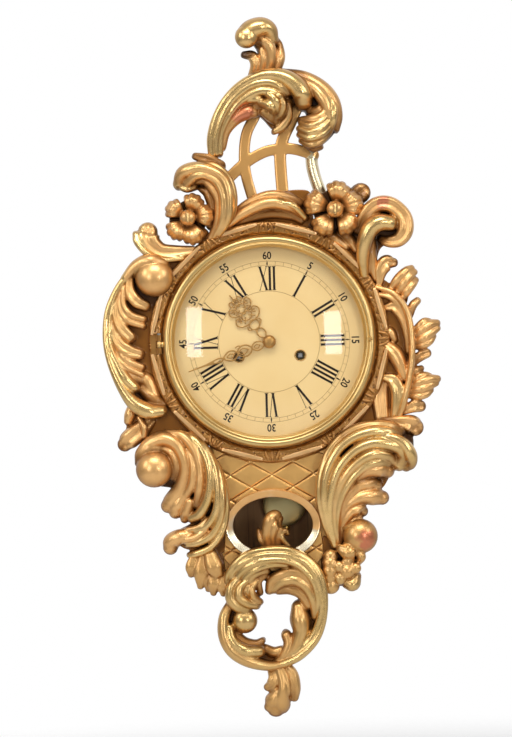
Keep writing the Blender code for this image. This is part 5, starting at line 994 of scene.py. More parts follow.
# Places (x, d, z) with their radius where the gold is rubbed through to the red ground
WORN_SPOTS = [(-20, 76, 229, 14), (116, 84, 136, 9), (92, 82, -201, 12)]
# Carving nearer the wall than this is painted shadow brown, as shade on the low ground between strokes
GROUND_SHADE_BELOW = BOARD_FRONT + GROUND_HEIGHT + 0.5
GILDING = gilding("carved_gilding", MATTE_GOLD, BURNISHED_GOLD, GOLD_SHADOW, WORN_SPOTS, GROUND_SHADE_BELOW)
# Darker gold of the lower ornaments: painted shade
SHADED_GILDING = gilding("shaded_gilding", tint(216, 168, 103), tint(218, 181, 117), GOLD_SHADOW, WORN_SPOTS,
                         GROUND_SHADE_BELOW)
RING_GILDING = gilding("ring_gilding", tint(164, 114, 54), tint(213, 160, 85), tint(85, 49, 14))
REED_GILDING = gilding("reed_gilding", tint(245, 198, 138), tint(252, 212, 152), GOLD_SHADOW)
PANEL_GILDING = gilding("panel_gilding", tint(238, 185, 108), BURNISHED_GOLD, tint(106, 62, 20))
# Its burnished colour is nearly white: a painted highlight on the rim's lower half
RIM_GILDING = gilding("rim_gilding", MATTE_GOLD, tint(255, 244, 214), GOLD_SHADOW)
# Its burnished colour is nearly white: a painted highlight, mostly on the fully burnished right bar
LATTICE_GILDING = gilding("lattice_gilding", tint(226, 171, 99), tint(255, 240, 200), GOLD_SHADOW)
BEZEL_BRASS = polished_brass("bezel_brass", tint(222, 188, 125), 0.24, tint(200, 156, 86))
HAND_GILT = polished_brass("hand_gilt", tint(190, 146, 84), 0.38, tint(132, 94, 46))
# The bob's brass is pale: painted light, as it hangs in the dark opening behind the aperture
BOB_BRASS = polished_brass("bob_brass", tint(250, 236, 176), 0.4, tint(204, 180, 110))
MOVEMENT_BRASS = polished_brass("movement_brass", tint(214, 180, 104), 0.28, tint(170, 132, 66))
STEEL = steel("polished_steel", tint(176, 176, 172))
BLUED_STEEL = steel("blued_steel", tint(60, 66, 92))
CASE_WOOD = wood("case_wood", tint(122, 82, 46), tint(66, 40, 20), 60.0)
BACK_WOOD = wood("back_wood", tint(176, 136, 88), tint(138, 98, 58), 40.0)
DIAL_CREAM = dial_cream()
INK = print_ink("numeral_ink", tint(36, 24, 13))
FAINT_INK = print_ink("track_ink", tint(160, 124, 74))
GLASS = clear_glass()


def dressed(piece, material):
    piece.data.materials.clear()
    piece.data.materials.append(material)
    return piece


def new_object(name, mesh, material=None):
    piece = bpy.data.objects.new(name, mesh)
    bpy.context.scene.collection.objects.link(piece)
    return dressed(piece, material) if material else piece


def mesh_of(name, places, faces):
    """A mesh from (x, d, z) places in millimetres."""
    mesh = bpy.data.meshes.new(name)
    mesh.from_pydata([spot(*place) for place in places], [], faces)
    mesh.validate()
    return mesh


def finished(piece):
    """The piece with its modifiers made part of a plain mesh."""
    bpy.context.view_layer.update()
    evaluated = piece.evaluated_get(bpy.context.evaluated_depsgraph_get())
    mesh = bpy.data.meshes.new_from_object(evaluated)
    piece.modifiers.clear()
    old = piece.data
    piece.data = mesh
    bpy.data.meshes.remove(old)
    return piece


def smooth(piece):
    piece.data.polygons.foreach_set("use_smooth", np.ones(len(piece.data.polygons), bool))
    return piece


def turns(count):
    """Angles evenly spread round a circle."""
    return np.arange(count) * math.tau / count


def risen(depth, turning):
    """A turning of (radius, rise) as a profile of (radius, d)."""
    return [(radius, depth + rise) for radius, rise in turning]


def curved(points, steps, closed=False):
    """Places along a smooth line through the points, with every number of a point carried along."""
    points = np.array(points, float)
    count = len(points)
    if closed:
        padded = np.vstack([points[-1], points, points[0], points[1]])
        spans = count
    else:
        padded = np.vstack([2 * points[0] - points[1], points, 2 * points[-1] - points[-2]])
        spans = count - 1
    places = []
    for span in range(spans):
        a, b, c, d = padded[span:span + 4]
        for t in np.arange(steps) / steps:
            places.append(0.5 * (2 * b + (c - a) * t + (2 * a - 5 * b + 4 * c - d) * t ** 2
                                 + (3 * b - a - 3 * c + d) * t ** 3))
    if not closed:
        places.append(points[-1])
    return np.array(places)


def crown(section, across):
    """Height of a stroke's crown, 0 at its edges, for places from -1 to 1 across it."""
    arch = np.sqrt(np.clip(1 - across ** 2, 0, 1))
    if section == FLAT:
        return np.clip(1 - across ** FLAT_POWER, 0, 1) ** 0.5
    if section not in DIPS:
        return arch
    depth, share = DIPS[section]
    dip = depth * np.exp(-(across / share) ** 2)
    return arch * (1 - dip) if section == HOLLOW else arch - dip


class Forms:
    """Closed overlapping bodies gathered into one mesh."""

    def __init__(self):
        self.places = []
        self.faces = []
        self.marks = []

    def skin(self, rows):
        """A closed body from rows of places, each row a ring, with the end rings filled."""
        start = len(self.places)
        around = len(rows[0])
        for row in rows:
            self.places.extend(tuple(place) for place in row)
        for row in range(len(rows) - 1):
            for side in range(around):
                a = start + row * around + side
                b = start + row * around + (side + 1) % around
                self.faces.append((a, b, b + around, a + around))
        last = start + (len(rows) - 1) * around
        self.faces.append(tuple(range(start + around - 1, start - 1, -1)))
        self.faces.append(tuple(range(last, last + around)))

    def slab(self, outline, back, front):
        """A flat body with an outline of (x, z) places."""
        self.skin([[(x, depth, z) for x, z in outline] for depth in (back, front)])

    def stroke(self, section, shine, points, base=None, spread=1.0):
        """A body that follows the points, crowned across and rounded off at both ends, from base outwards."""
        stations = curved(points, LOBE_STEPS)
        stations[:, 2] = np.maximum(stations[:, 2], LEAST_HALF) * spread
        tangents = np.gradient(stations[:, :2], axis=0)
        tangents /= np.maximum(np.linalg.norm(tangents, axis=1), 1e-6)[:, None]
        low = -LOBE_SINK if base is None else base
        across = np.cos(np.linspace(0, math.pi, LOBE_SIDES))
        rise_shape = crown(section, across)

        def ring(place, tangent, half, height):
            rise = min(half * (LEAF_RISE if section == LEAF else LOBE_RISE), height - low - LEAST_WALL)
            if section == FLAT:
                rise = min(rise, FLAT_RISE)
            side = (-tangent[1] * half, tangent[0] * half)
            row = [(u, BOARD_FRONT + height - rise + rise * v) for u, v in zip(across, rise_shape)]
            row += [(u, BOARD_FRONT + low) for u in (-FOOT_SHARE, FOOT_SHARE)]
            return [(place[0] + side[0] * u, d, place[1] + side[1] * u) for u, d in row]

        def cap(station, tangent, sign):
            x, z, half, height = station
            rings = []
            for part in CAP_STEPS:
                shrink = math.sqrt(1 - part ** 2)
                reach = sign * half * part
                place = (x + tangent[0] * reach, z + tangent[1] * reach)
                lowered = low + (height - low) * (CAP_FOOT + (1 - CAP_FOOT) * shrink)
                rings.append(ring(place, tangent, half * max(shrink, CAP_LEAST), lowered))
            return rings

        rows = cap(stations[0], tangents[0], -1)[::-1]
        for station, tangent in zip(stations, tangents):
            rows.append(ring(station[:2], tangent, station[2], station[3]))
            self.marks.append((spot(station[0], BOARD_FRONT + station[3], station[1]), shine))
        rows += cap(stations[-1], tangents[-1], 1)
        self.skin(rows)

    def ball(self, shine, x, z, radius, height):
        half_depth = radius * BALL_DEPTH
        rows = []
        for turn in np.linspace(BALL_POLE, math.pi - BALL_POLE, BALL_ROWS):
            ring_radius = radius * math.sin(turn)
            depth = BOARD_FRONT + height - half_depth + half_depth * math.cos(turn)
            depth = max(depth, BOARD_FRONT - LOBE_SINK)
            rows.append([(x + ring_radius * math.cos(a), depth, z + ring_radius * math.sin(a))
                         for a in turns(BALL_SIDES)])
        self.marks.append((spot(x, BOARD_FRONT + height, z), shine))
        reach = radius * BALL_MARK_REACH
        for a in turns(BALL_MARKS):
            across, up = reach * math.cos(a), reach * math.sin(a)
            self.marks.append((spot(x + across, BOARD_FRONT + height * BALL_MARK_HEIGHT, z + up), shine))
        self.skin(rows)

    def ground(self, outline, back, front):
        self.slab(curved(outline, GROUND_STEPS, closed=True), back, front)

    def mesh(self, name):
        return mesh_of(name, self.places, self.faces)


def mesh_arrays(mesh):
    """A mesh's places, its edges, and how many edges meet at each place."""
    count = len(mesh.vertices)
    places = np.zeros(count * 3)
    mesh.vertices.foreach_get("co", places)
    edges = np.zeros(len(mesh.edges) * 2, int)
    mesh.edges.foreach_get("vertices", edges)
    counts = np.maximum(np.bincount(edges, minlength=count), 1)
    return places.reshape(-1, 3), edges.reshape(-1, 2), counts


def neighbour_mean(values, edges, counts):
    total = np.zeros_like(values)
    for column in range(values.shape[1]):
        total[:, column] = (np.bincount(edges[:, 0], values[edges[:, 1], column], len(values))
                            + np.bincount(edges[:, 1], values[edges[:, 0], column], len(values)))
    return total / counts[:, None]


def below_neighbours(places):
    """How far each place, in millimetres, lies behind the foremost carving near it."""
    cells = ((places[:, (0, 2)] - places[:, (0, 2)].min(axis=0)) / SUNK_CELL).astype(int) + SUNK_REACH
    top = np.full(cells.max(axis=0) + 1 + SUNK_REACH, -np.inf)
    np.maximum.at(top, (cells[:, 0], cells[:, 1]), -places[:, 1])
    for _ in range(SUNK_REACH):
        wider = top.copy()
        wider[1:] = np.maximum(wider[1:], top[:-1])
        wider[:-1] = np.maximum(wider[:-1], top[1:])
        wider[:, 1:] = np.maximum(wider[:, 1:], top[:, :-1])
        wider[:, :-1] = np.maximum(wider[:, :-1], top[:, 1:])
        top = wider
    return top[cells[:, 0], cells[:, 1]] + places[:, 1]


def write_attribute(mesh, name, values):
    mesh.attributes.new(name, "FLOAT", "POINT").data.foreach_set("value", values.astype(np.float32))


def carved_attributes(mesh, marks):
    """Writes how far each point lies in a groove and below the carving near it, both in millimetres.

    A third attribute says how burnished the nearest mark is, or 0 where there are no marks.
    """
    places, edges, counts = mesh_arrays(mesh)
    count = len(places)
    normals = np.zeros(count * 3)
    mesh.vertices.foreach_get("normal", normals)
    normals = normals.reshape(-1, 3)
    blurred = places.copy()
    for _ in range(RECESS_REACH):
        blurred = (1 - RECESS_BLUR) * blurred + RECESS_BLUR * neighbour_mean(blurred, edges, counts)
    write_attribute(mesh, "recess", np.einsum("ij,ij->i", blurred - places, normals) / MM)
    write_attribute(mesh, "sunk", below_neighbours(places / MM))
    shine = np.zeros((count, 1))
    if marks:
        tree = kdtree.KDTree(len(marks))
        for index, (place, _) in enumerate(marks):
            tree.insert(place, index)
        tree.balance()
        shine[:, 0] = [marks[tree.find(place)[1]][1] for place in places]
        for _ in range(SHINE_ROUNDS):
            shine = neighbour_mean(shine, edges, counts)
    write_attribute(mesh, "shine", shine[:, 0])


def remeshed(piece, voxel, softening, easing=0):
    """Melts overlapping bodies into one carved surface."""
    melt = piece.modifiers.new("melt", "REMESH")
    melt.mode = "VOXEL"
    melt.voxel_size = voxel * MM
    soften = piece.modifiers.new("soften", "SMOOTH")
    soften.factor = SOFTEN_SHARE
    soften.iterations = softening
    finished(piece)
    if easing:
        eased(piece.data, easing)
    return piece


def eased(mesh, rounds):
    """Takes the small ripples out of a surface and leaves its forms as full as they were."""
    places, edges, counts = mesh_arrays(mesh)
    for _ in range(rounds):
        for share in EASE_SHARES:
            places += share * (neighbour_mean(places, edges, counts) - places)
    mesh.vertices.foreach_set("co", places.ravel())
    mesh.update()


def carve(node):
    forms = Forms()
    for outline in GROUNDS.get(node, []):
        forms.ground(outline, CARVING_BACK, BOARD_FRONT + GROUND_HEIGHT)
    for section, shine, points in STROKES[node]:
        if len(points) == 1:
            forms.ball(shine, *points[0])
        else:
            forms.stroke(section, shine, points, spread=STROKE_SPREAD)
    piece = new_object(node + "_carving", forms.mesh(node))
    remeshed(piece, VOXEL, SOFTENING, EASING)
    carved_attributes(piece.data, forms.marks)
    dressed(piece, SHADED_GILDING if node in SHADED else GILDING)
    smooth(piece)
    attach(piece, "case")
    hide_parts(node)
    return piece


for node in STROKES:
    carve(node)


def openwork():
    """The crest's flat bars."""
    back, front = back_of("crest_lattice"), front_of("crest_lattice")
    forms = Forms()
    for section, shine, half, line in LATTICE_BARS:
        forms.stroke(section, shine, [(x, z, half, front - BOARD_FRONT) for x, z in line], back - BOARD_FRONT)
    piece = new_object("crest_openwork", forms.mesh("crest_openwork"))
    remeshed(piece, VOXEL, SOFTENING)
    carved_attributes(piece.data, forms.marks)
    piece.data.materials.append(LATTICE_GILDING)
    smooth(piece)
    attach(piece, "case")
    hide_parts("crest_lattice")


openwork()


def outward(piece):
    """Doubles merged and faces turned outwards."""
    shell = bmesh.new()
    shell.from_mesh(piece.data)
    bmesh.ops.remove_doubles(shell, verts=shell.verts, dist=MERGE * MM)
    bmesh.ops.recalc_face_normals(shell, faces=shell.faces)
    shell.to_mesh(piece.data)
    shell.free()
    return smooth(piece)


def turned(name, profile, material, centre=(0.0, 0.0), spread=(0.0, 0.0), sides=TURNED_SIDES, crease=CREASE):
    """A closed profile of (radius, d) spun about a line out from the wall, or round an oval with a spread."""
    places = []
    faces = []
    count = len(profile)
    for side in range(sides):
        angle = math.tau * side / sides
        across, up = math.sin(angle), math.cos(angle)
        places.extend((centre[0] + (spread[0] + r) * across, d, centre[1] + (spread[1] + r) * up)
                      for r, d in profile)
    for side in range(sides):
        here, there = side * count, (side + 1) % sides * count
        for step in range(count):
            following = (step + 1) % count
            faces.append((here + step, here + following, there + following, there + step))
    piece = outward(new_object(name, mesh_of(name, places, faces), material))
    piece.data.set_sharp_from_angle(angle=crease)
    return piece


def ridden(piece, slot, body, *nodes):
    """The piece on its body and in place of the nodes. Its slot, the record's finish it takes, is not used.
    """
    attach(piece, body)
    if nodes:
        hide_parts(*nodes)
    return piece


def joined(name, pieces, material=None):
    """Several pieces as one mesh, each part keeping its own finish unless one is given."""
    whole = bmesh.new()
    finishes = []
    for piece in pieces:
        own = material or piece.data.materials[0]
        if own not in finishes:
            finishes.append(own)
        start = len(whole.faces)
        whole.from_mesh(piece.data)
        whole.faces.ensure_lookup_table()
        for face in whole.faces[start:]:
            face.material_index = finishes.index(own)
    mesh = bpy.data.meshes.new(name)
    whole.to_mesh(mesh)
    whole.free()
    for own in finishes:
        mesh.materials.append(own)
    for piece in pieces:
        bpy.data.objects.remove(piece)
    return new_object(name, mesh)


def repeat_tree(name, on_points):
    """Geometry nodes that repeat a piece round the dial's middle, or on each point of the carrier."""
    tree = bpy.data.node_groups.new(name, "GeometryNodeTree")
    for label, kind in (("Carrier", "NodeSocketGeometry"), ("Piece", "NodeSocketObject"),
                        ("Count", "NodeSocketInt"), ("First Turn", "NodeSocketFloat"),
                        ("Finish", "NodeSocketMaterial")):
        tree.interface.new_socket(label, in_out="INPUT", socket_type=kind)
    tree.interface.new_socket("Geometry", in_out="OUTPUT", socket_type="NodeSocketGeometry")
    g = Nodes(tree)
    given = tree.nodes.new("NodeGroupInput").outputs
    inputs = {socket.name: Value(g, socket) for socket in given if socket.name}
    piece = g.add("GeometryNodeObjectInfo", None, {"Object": inputs["Piece"]}, output="Geometry")
    if on_points:
        points = inputs["Carrier"]
        turn = inputs["First Turn"]
    else:
        points = g.add("GeometryNodePoints", None, {"Count": inputs["Count"]})
        turn = inputs["First Turn"] + g.add("GeometryNodeInputIndex") * math.tau / inputs["Count"]
    rotation = g.add("ShaderNodeCombineXYZ", None, {"Y": turn})
    copies = g.add("GeometryNodeInstanceOnPoints", None,
                   {"Points": points, "Instance": piece, "Rotation": rotation})
    solid = g.add("GeometryNodeRealizeInstances", None, {"Geometry": copies})
    dressed = g.add("GeometryNodeSetMaterial", None, {"Geometry": solid, "Material": inputs["Finish"]})
    g.add("NodeGroupOutput", None, {"Geometry": dressed})
    return tree


ROUND_THE_DIAL = repeat_tree("round_the_dial", False)
ON_POINTS = repeat_tree("on_points", True)


def repeated(name, tree, piece, material, count=1, first_turn=0.0, points=()):
    """The piece repeated by one of the trees, as one plain mesh. The pattern piece goes."""
    carrier = bpy.data.meshes.new(name)
    carrier.from_pydata([spot(*place) for place in points] or [(0, 0, 0)], [], [])
    made = new_object(name, carrier)
    nodes = made.modifiers.new("repeat", "NODES")
    nodes.node_group = tree
    values = {"Piece": piece, "Count": count, "First Turn": first_turn, "Finish": material}
    for socket in tree.interface.items_tree:
        if socket.in_out == "INPUT" and socket.name in values:
            nodes[socket.identifier] = values[socket.name]
    finished(made)
    bpy.data.objects.remove(piece)
    return smooth(made)


# The band round the bezel

def pitted_band():
    """The ring's ground, punched all over between its edges."""
    profile = [(RING_INNER, RING_BACK)]
    for step in range(BAND_STEPS):
        rise = BAND_WALL + BAND_BEVEL * min(step, BAND_BEVEL_STEPS) + BAND_SLOPE * step
        profile.append((RING_INNER + BAND_INSET + BAND_STEP * step, RING_BACK + rise))
    profile += [(RING_OUTER + out, RING_FRONT + rise) for out, rise in RING_EDGE] + [(RING_OUTER, RING_BACK)]
    band = turned("ring_ground", profile, RING_GILDING, sides=RING_SIDES)
    for vertex in band.data.vertices:
        depth = -vertex.co.y / MM
        if depth > RING_BACK + PIT_WALL:
            pits = noise.noise(vertex.co / MM * PIT_SCALE)
            pits += FINE_PIT_SHARE * noise.noise(vertex.co / MM * FINE_PIT_SCALE)
            vertex.co.y += max(0.0, pits - PIT_LEAST) * PIT_DEPTH * MM
    band.data.update()
    carved_attributes(band.data, [])
    return band


def reed():
    """One straight lath at twelve o'clock: flat-topped, a little fuller in the middle."""
    forms = Forms()
    top = RING_FRONT + REED_RISE - BOARD_FRONT
    line = [(along, REED_PLACE, REED_HALF * (1 - REED_TAPER * (along / REED_REACH) ** 2), top)
            for along in np.linspace(-REED_REACH, REED_REACH, REED_POINTS)]
    forms.stroke(FLAT, 0.5, line, REED_FOOT - BOARD_FRONT)
    return new_object("reed", forms.mesh("reed"), REED_GILDING)


def binding():
    """Three bands that tie the reeds' ends at twelve o'clock."""
    forms = Forms()
    top = BINDING_TOP - BOARD_FRONT
    for along, lean in BINDING_BANDS:
        line = [(along + side * lean, out, half, top - drop) for side, out, half, drop in BINDING_LINE]
        forms.stroke(ROUND, 0.3, line, REED_FOOT - BOARD_FRONT)
    return new_object("binding", forms.mesh("binding"), RING_GILDING)


def ring():
    reeds = repeated("ring_reeds", ROUND_THE_DIAL, reed(), REED_GILDING, REED_COUNT, REED_FIRST_TURN)
    bindings = repeated("ring_bindings", ROUND_THE_DIAL, binding(), RING_GILDING, REED_COUNT)
    band = pitted_band()
    ridden(band, "matte_gilding", "case", "carved_ring")
    ridden(outward(reeds), "matte_gilding", "case")
    ridden(outward(bindings), "matte_gilding", "case")


ring()


# Bezel door with its glass

def bezel():
    profile = [(BEZEL_RADIUS - BEZEL_WALL, BEZEL_BACK)] + risen(GLASS_SEAT, BEZEL_STEPS)
    profile += risen(BEZEL_FRONT, BEZEL_ROLL) + [(BEZEL_RADIUS, BEZEL_BACK)]
    door = turned("bezel_turning", profile, BEZEL_BRASS, sides=BEZEL_SIDES)
    knuckle = new_object("knuckle", knuckle_mesh(), BEZEL_BRASS)
    frame_piece = smooth(joined("bezel_frame", [door, outward(knuckle)], BEZEL_BRASS))
    return ridden(frame_piece, "gilt_brass", "bezel_door", "bezel_ring")


def knuckle_mesh():
    """The door's own hinge eye with the leaf that carries it."""
    x, d = HINGE_PLACE
    forms = Forms()
    rows = []
    inner = KNUCKLE_HALF - KNUCKLE_BEVEL
    for z, radius in ((-KNUCKLE_HALF, KNUCKLE_END_RADIUS), (-inner, KNUCKLE_RADIUS), (inner, KNUCKLE_RADIUS),
                      (KNUCKLE_HALF, KNUCKLE_END_RADIUS)):
        rows.append([(x + radius * math.cos(a), d + radius * math.sin(a), z) for a in turns(KNUCKLE_SIDES)])
    forms.skin(rows)
    behind, before = d - LEAF_BEHIND, d + LEAF_BEFORE
    leaf = [(x, behind), (LEAF_REACH, behind), (LEAF_REACH, before), (x, before)]
    forms.skin([[(u, v, z) for u, v in leaf] for z in (LEAF_INSET - KNUCKLE_HALF, KNUCKLE_HALF - LEAF_INSET)])
    return forms.mesh("knuckle")


def dome(radius, edge):
    """A shallow dome's profile, from its edge to its middle."""
    shares = 1 - np.arange(DOME_STEPS + 1) / DOME_STEPS
    return [(radius * share, edge + GLASS_RISE * (1 - share ** 2)) for share in shares]


def domed_glass():
    """Glass with a flat rim in the door and a shallow dome over the hands."""
    profile = [(GLASS_RADIUS, GLASS_INNER), (GLASS_RADIUS, GLASS_OUTER)]
    profile += dome(DOME_OUTER_RADIUS, GLASS_OUTER) + dome(DOME_INNER_RADIUS, GLASS_INNER)[::-1]
    glass = turned("domed_glass", profile, GLASS, sides=GLASS_SIDES, crease=GLASS_CREASE)
    return ridden(glass, "glass", "bezel_door", "bezel_glass")


bezel()
domed_glass()


# Dial printing

class Print(Forms):
    """Flat printed shapes a hair above the dial."""

    def patch(self, outline):
        self.slab(outline, DIAL_FRONT - PRINT_SINK, DIAL_FRONT + PRINT_RISE)

    def bar(self, start, end, width):
        """A stroke with ends square to the dial's middle line, given as (across, out) at twelve o'clock."""
        (u, v), (p, q) = start, end
        return [(u - width / 2, v), (u + width / 2, v), (p + width / 2, q), (p - width / 2, q)]

    def circle(self, radius, width):
        inner, outer = radius - width / 2, radius + width / 2
        angles = np.arange(CIRCLE_SIDES + 1) * math.tau / CIRCLE_SIDES
        for a, b in zip(angles[:-1], angles[1:]):
            corners = ((inner, a), (outer, a), (outer, b), (inner, b))
            self.patch([(r * math.sin(t), r * math.cos(t)) for r, t in corners])


def turned_point(angle, u, v):
    """A point (across, out) at twelve o'clock, turned clockwise round the dial."""
    return (u * math.cos(angle) + v * math.sin(angle), v * math.cos(angle) - u * math.sin(angle))


def numeral_bars(letter, at, low, high):
    thick, thin = NUMERAL_THICK, NUMERAL_THIN
    if letter == "I":
        return [((at, low), (at, high), thick)]
    half = LETTER_WIDTH[letter] / 2 - thick / 2
    if letter == "V":
        return [((at, low), (at - half, high), thick), ((at + V_GAP, low), (at + half, high), thin)]
    return [((at + half, low), (at - half, high), thick), ((at - half, low), (at + half, high), thin)]


def numeral_print():
    marks = Print()
    for hour, numeral in enumerate(NUMERALS):
        angle = math.radians(30 * hour)
        at = -sum(LETTER_WIDTH[letter] for letter in numeral) / 2
        for letter in numeral:
            middle = at + LETTER_WIDTH[letter] / 2
            for start, end, width in numeral_bars(letter, middle, NUMERAL_INNER, NUMERAL_OUTER):
                marks.patch([turned_point(angle, *p) for p in marks.bar(start, end, width)])
                for u, v in (start, end):
                    foot = [(u - width / 2 - SERIF, v - SERIF_HALF), (u + width / 2 + SERIF, v - SERIF_HALF),
                            (u + width / 2 + SERIF, v + SERIF_HALF), (u - width / 2 - SERIF, v + SERIF_HALF)]
                    marks.patch([turned_point(angle, *p) for p in foot])
            at += LETTER_WIDTH[letter]
    return new_object("numerals", marks.mesh("numerals"), INK)


def minute_numbers():
    """The numbers 5 to 60 outside the minute track, upright as seen from the middle."""
    pieces = []
    for five in range(1, 13):
        angle = math.radians(30 * five)
        text = bpy.data.curves.new("minute_number", "FONT")
        text.body = str(5 * five)
        text.size = MINUTE_NUMBER_SIZE * MM
        text.align_x = "CENTER"
        text.align_y = "CENTER"
        text.extrude = PRINT_RISE / 2 * MM
        text.offset = MINUTE_NUMBER_WEIGHT * MM
        text.resolution_u = MINUTE_NUMBER_STEPS
        piece = new_object("minute_number", text)
        bpy.context.view_layer.update()
        mesh = bpy.data.meshes.new_from_object(piece.evaluated_get(bpy.context.evaluated_depsgraph_get()))
        bpy.data.objects.remove(piece)
        for vertex in mesh.vertices:
            u, v, rise = vertex.co / MM
            x, z = turned_point(angle, u * NUMBER_NARROWING, v + MINUTE_NUMBER_RADIUS)
            vertex.co = spot(x, DIAL_FRONT + PRINT_RISE / 2 + rise, z)
        pieces.append(new_object("minute_number", mesh, INK))
    return pieces


def tick(width, inner, outer):
    marks = Print()
    marks.patch([(-width / 2, inner), (width / 2, inner), (width / 2, outer), (-width / 2, outer)])
    return new_object("tick", marks.mesh("tick"), FAINT_INK)


def spindle():
    """The small pointed mark at each five minutes."""
    marks = Print()
    marks.patch(SPINDLE)
    return new_object("spindle", marks.mesh("spindle"), INK)


def dial_printing():
    circles = Print()
    for radius, width in CIRCLES:
        circles.circle(radius, width)
    rings = new_object("circles", circles.mesh("circles"), FAINT_INK)
    ticks = repeated("ticks", ROUND_THE_DIAL, tick(TICK_WIDTH, TRACK_INNER, TRACK_OUTER), FAINT_INK, 60)
    spindles = repeated("spindles", ROUND_THE_DIAL, spindle(), INK, 12)
    printing = joined("dial_printing", [numeral_print(), spindles, rings, ticks] + minute_numbers())
    ridden(printing, "dial_cream", "case")


dial_printing()


# Hands, pierced and gilded

def hand(name, angle, ribbons, radius, node, body):
    """Ribbons of (across, out, half-width), each laid on both sides of the hand's middle line, and a disc."""
    back, front = back_of(node) - BOARD_FRONT, front_of(node) - BOARD_FRONT
    forms = Forms()
    for ribbon in ribbons:
        for side in (1, -1):
            line = []
            for across, out, half in ribbon:
                x, z = turned_point(angle, side * across, out)
                line.append((x, z, half, front))
            forms.stroke(FLAT, 0.5, line, back)
    disc = [(radius * math.cos(a), radius * math.sin(a)) for a in turns(DISC_SIDES)]
    forms.slab(disc, back + BOARD_FRONT, front + BOARD_FRONT)
    piece = new_object(name, forms.mesh(name))
    remeshed(piece, HAND_VOXEL, HAND_SOFTENING)
    dressed(piece, HAND_GILT)
    return ridden(smooth(piece), "gilt_brass", body, node)


hand("pierced_minute_hand", MINUTE_ANGLE, MINUTE_RIBBONS, MINUTE_DISC, "minute_hand", "minute_arbor")
hand("pierced_hour_hand", HOUR_ANGLE, HOUR_RIBBONS, HOUR_DISC, "hour_hand", "hour_pipe")

BOSS_PROFILE = risen(BOSS_BACK, BOSS_STEM) + risen(BOSS_FRONT, BOSS_DOME)
boss = turned("domed_boss", BOSS_PROFILE, HAND_GILT, sides=BOSS_SIDES)
ridden(boss, "gilt_brass", "minute_arbor", "hand_nut")


# Apron: trellis panel, aperture rim and pendulum bob

def trellis_groove(x, z):
    """How near a place is to an incised line, as 1 on the line and 0 well away."""
    nearest = min(abs((z - TRELLIS_KNOT[1] - slope * (x - TRELLIS_KNOT[0]) + TRELLIS_TALL / 2) % TRELLIS_TALL
                      - TRELLIS_TALL / 2) for slope in (TRELLIS_SLOPE, -TRELLIS_SLOPE))
    away = nearest * math.cos(math.atan(TRELLIS_SLOPE))
    return math.exp(-(away / TRELLIS_HALF) ** 2), away


def trellis_panel():
    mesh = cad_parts["apron_panel"].data.copy()
    panel = outward(new_object("trellis_panel", mesh))
    remeshed(panel, PANEL_VOXEL, PANEL_SOFTENING)
    for vertex in panel.data.vertices:
        depth = -vertex.co.y / MM
        if depth > PANEL_FRONT - PANEL_SKIN:
            line, away = trellis_groove(vertex.co.x / MM, vertex.co.z / MM)
            vertex.co.y += (TRELLIS_DEPTH * line - PILLOW_SLOPE * min(away, PILLOW_REACH)) * MM
    panel.data.update()
    carved_attributes(panel.data, [])
    dressed(panel, PANEL_GILDING)
    return ridden(smooth(panel), "matte_gilding", "case", "apron_panel")


def aperture_rim():
    back, front = back_of("aperture_rim"), front_of("aperture_rim")
    profile = [(0, back)] + risen(front, RIM_TURNING) + [(RIM_WIDTH, back)]
    rim = turned("oval_rim", profile, RIM_GILDING, APERTURE, APERTURE_HALF)
    marks = []
    # Painted highlight: marks on the rim's lower half are burnished, which turns it nearly white
    for angle in turns(RIM_MARKS):
        x = APERTURE[0] + APERTURE_HALF[0] * math.sin(angle)
        z = APERTURE[1] + APERTURE_HALF[1] * math.cos(angle)
        marks.append((spot(x, front, z), RIM_BRIGHT if z < RIM_BRIGHT_BELOW else RIM_DULL))
    carved_attributes(rim.data, marks)
    return ridden(rim, "burnished_gilding", "case", "aperture_rim")


def pendulum_bob():
    low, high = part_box("pendulum_bob")
    centre = ((low.x + high.x) / 2 / MM, (low.z + high.z) / 2 / MM)
    back, front = back_of("pendulum_bob"), front_of("pendulum_bob")
    middle = (back + front) / 2
    radius = (high.x - low.x) / 2 / MM
    half = (front - back) / 2
    profile = [(0, back)]
    profile += [(radius * math.sin(turn), middle - half * math.cos(turn))
                for turn in np.linspace(BOB_EDGE, math.pi - BOB_EDGE, BOB_STEPS)]
    profile += [(0, front)]
    bob = turned("lens_bob", profile, BOB_BRASS, centre, sides=BOB_SIDES)
    return ridden(bob, "brass", "pendulum", "pendulum_bob")


trellis_panel()
aperture_rim()
pendulum_bob()


# Winding eyelets, and the screws that hold the back

def eyelets():
    profile = risen(DIAL_FRONT, EYELET_TURNING)
    x, z = WINDING_PLACE
    pair = [turned("eyelet", profile, HAND_GILT, (side * x, z), sides=EYELET_SIDES) for side in (-1, 1)]
    return ridden(smooth(joined("winding_eyelets", pair, HAND_GILT)), "gilt_brass", "case")


def screw_head():
    """A round slotted head that faces the wall."""
    forms = Forms()
    disc = [(SCREW_RADIUS * math.cos(a), SCREW_RADIUS * math.sin(a)) for a in turns(SCREW_SIDES)]
    forms.slab(disc, SCREW_SINK, -SCREW_SEAT)
    for side in (1, -1):
        half = [(SCREW_RADIUS * math.cos(a), side * (SLOT_HALF + (SCREW_RADIUS - SLOT_HALF) * math.sin(a)))
                for a in np.linspace(0, math.pi, SLOT_STEPS)]
        forms.slab(half, SCREW_SINK, -SCREW_RISE)
    return outward(new_object("screw_head", forms.mesh("screw_head"), STEEL))


def back_screws():
    reach = BACK_RADIUS - SCREW_INSET
    right = [(reach * math.sin(turn), reach * math.cos(turn)) for turn in np.radians(DRUM_SCREWS)]
    places = [(side * x, 0.0, z) for side in (1, -1) for x, z in right + TRUNK_SCREWS]
    screws = repeated("back_screws", ON_POINTS, screw_head(), STEEL, first_turn=SCREW_TURN,
                      points=places)
    return ridden(outward(screws), "steel", "case")


eyelets()
back_screws()


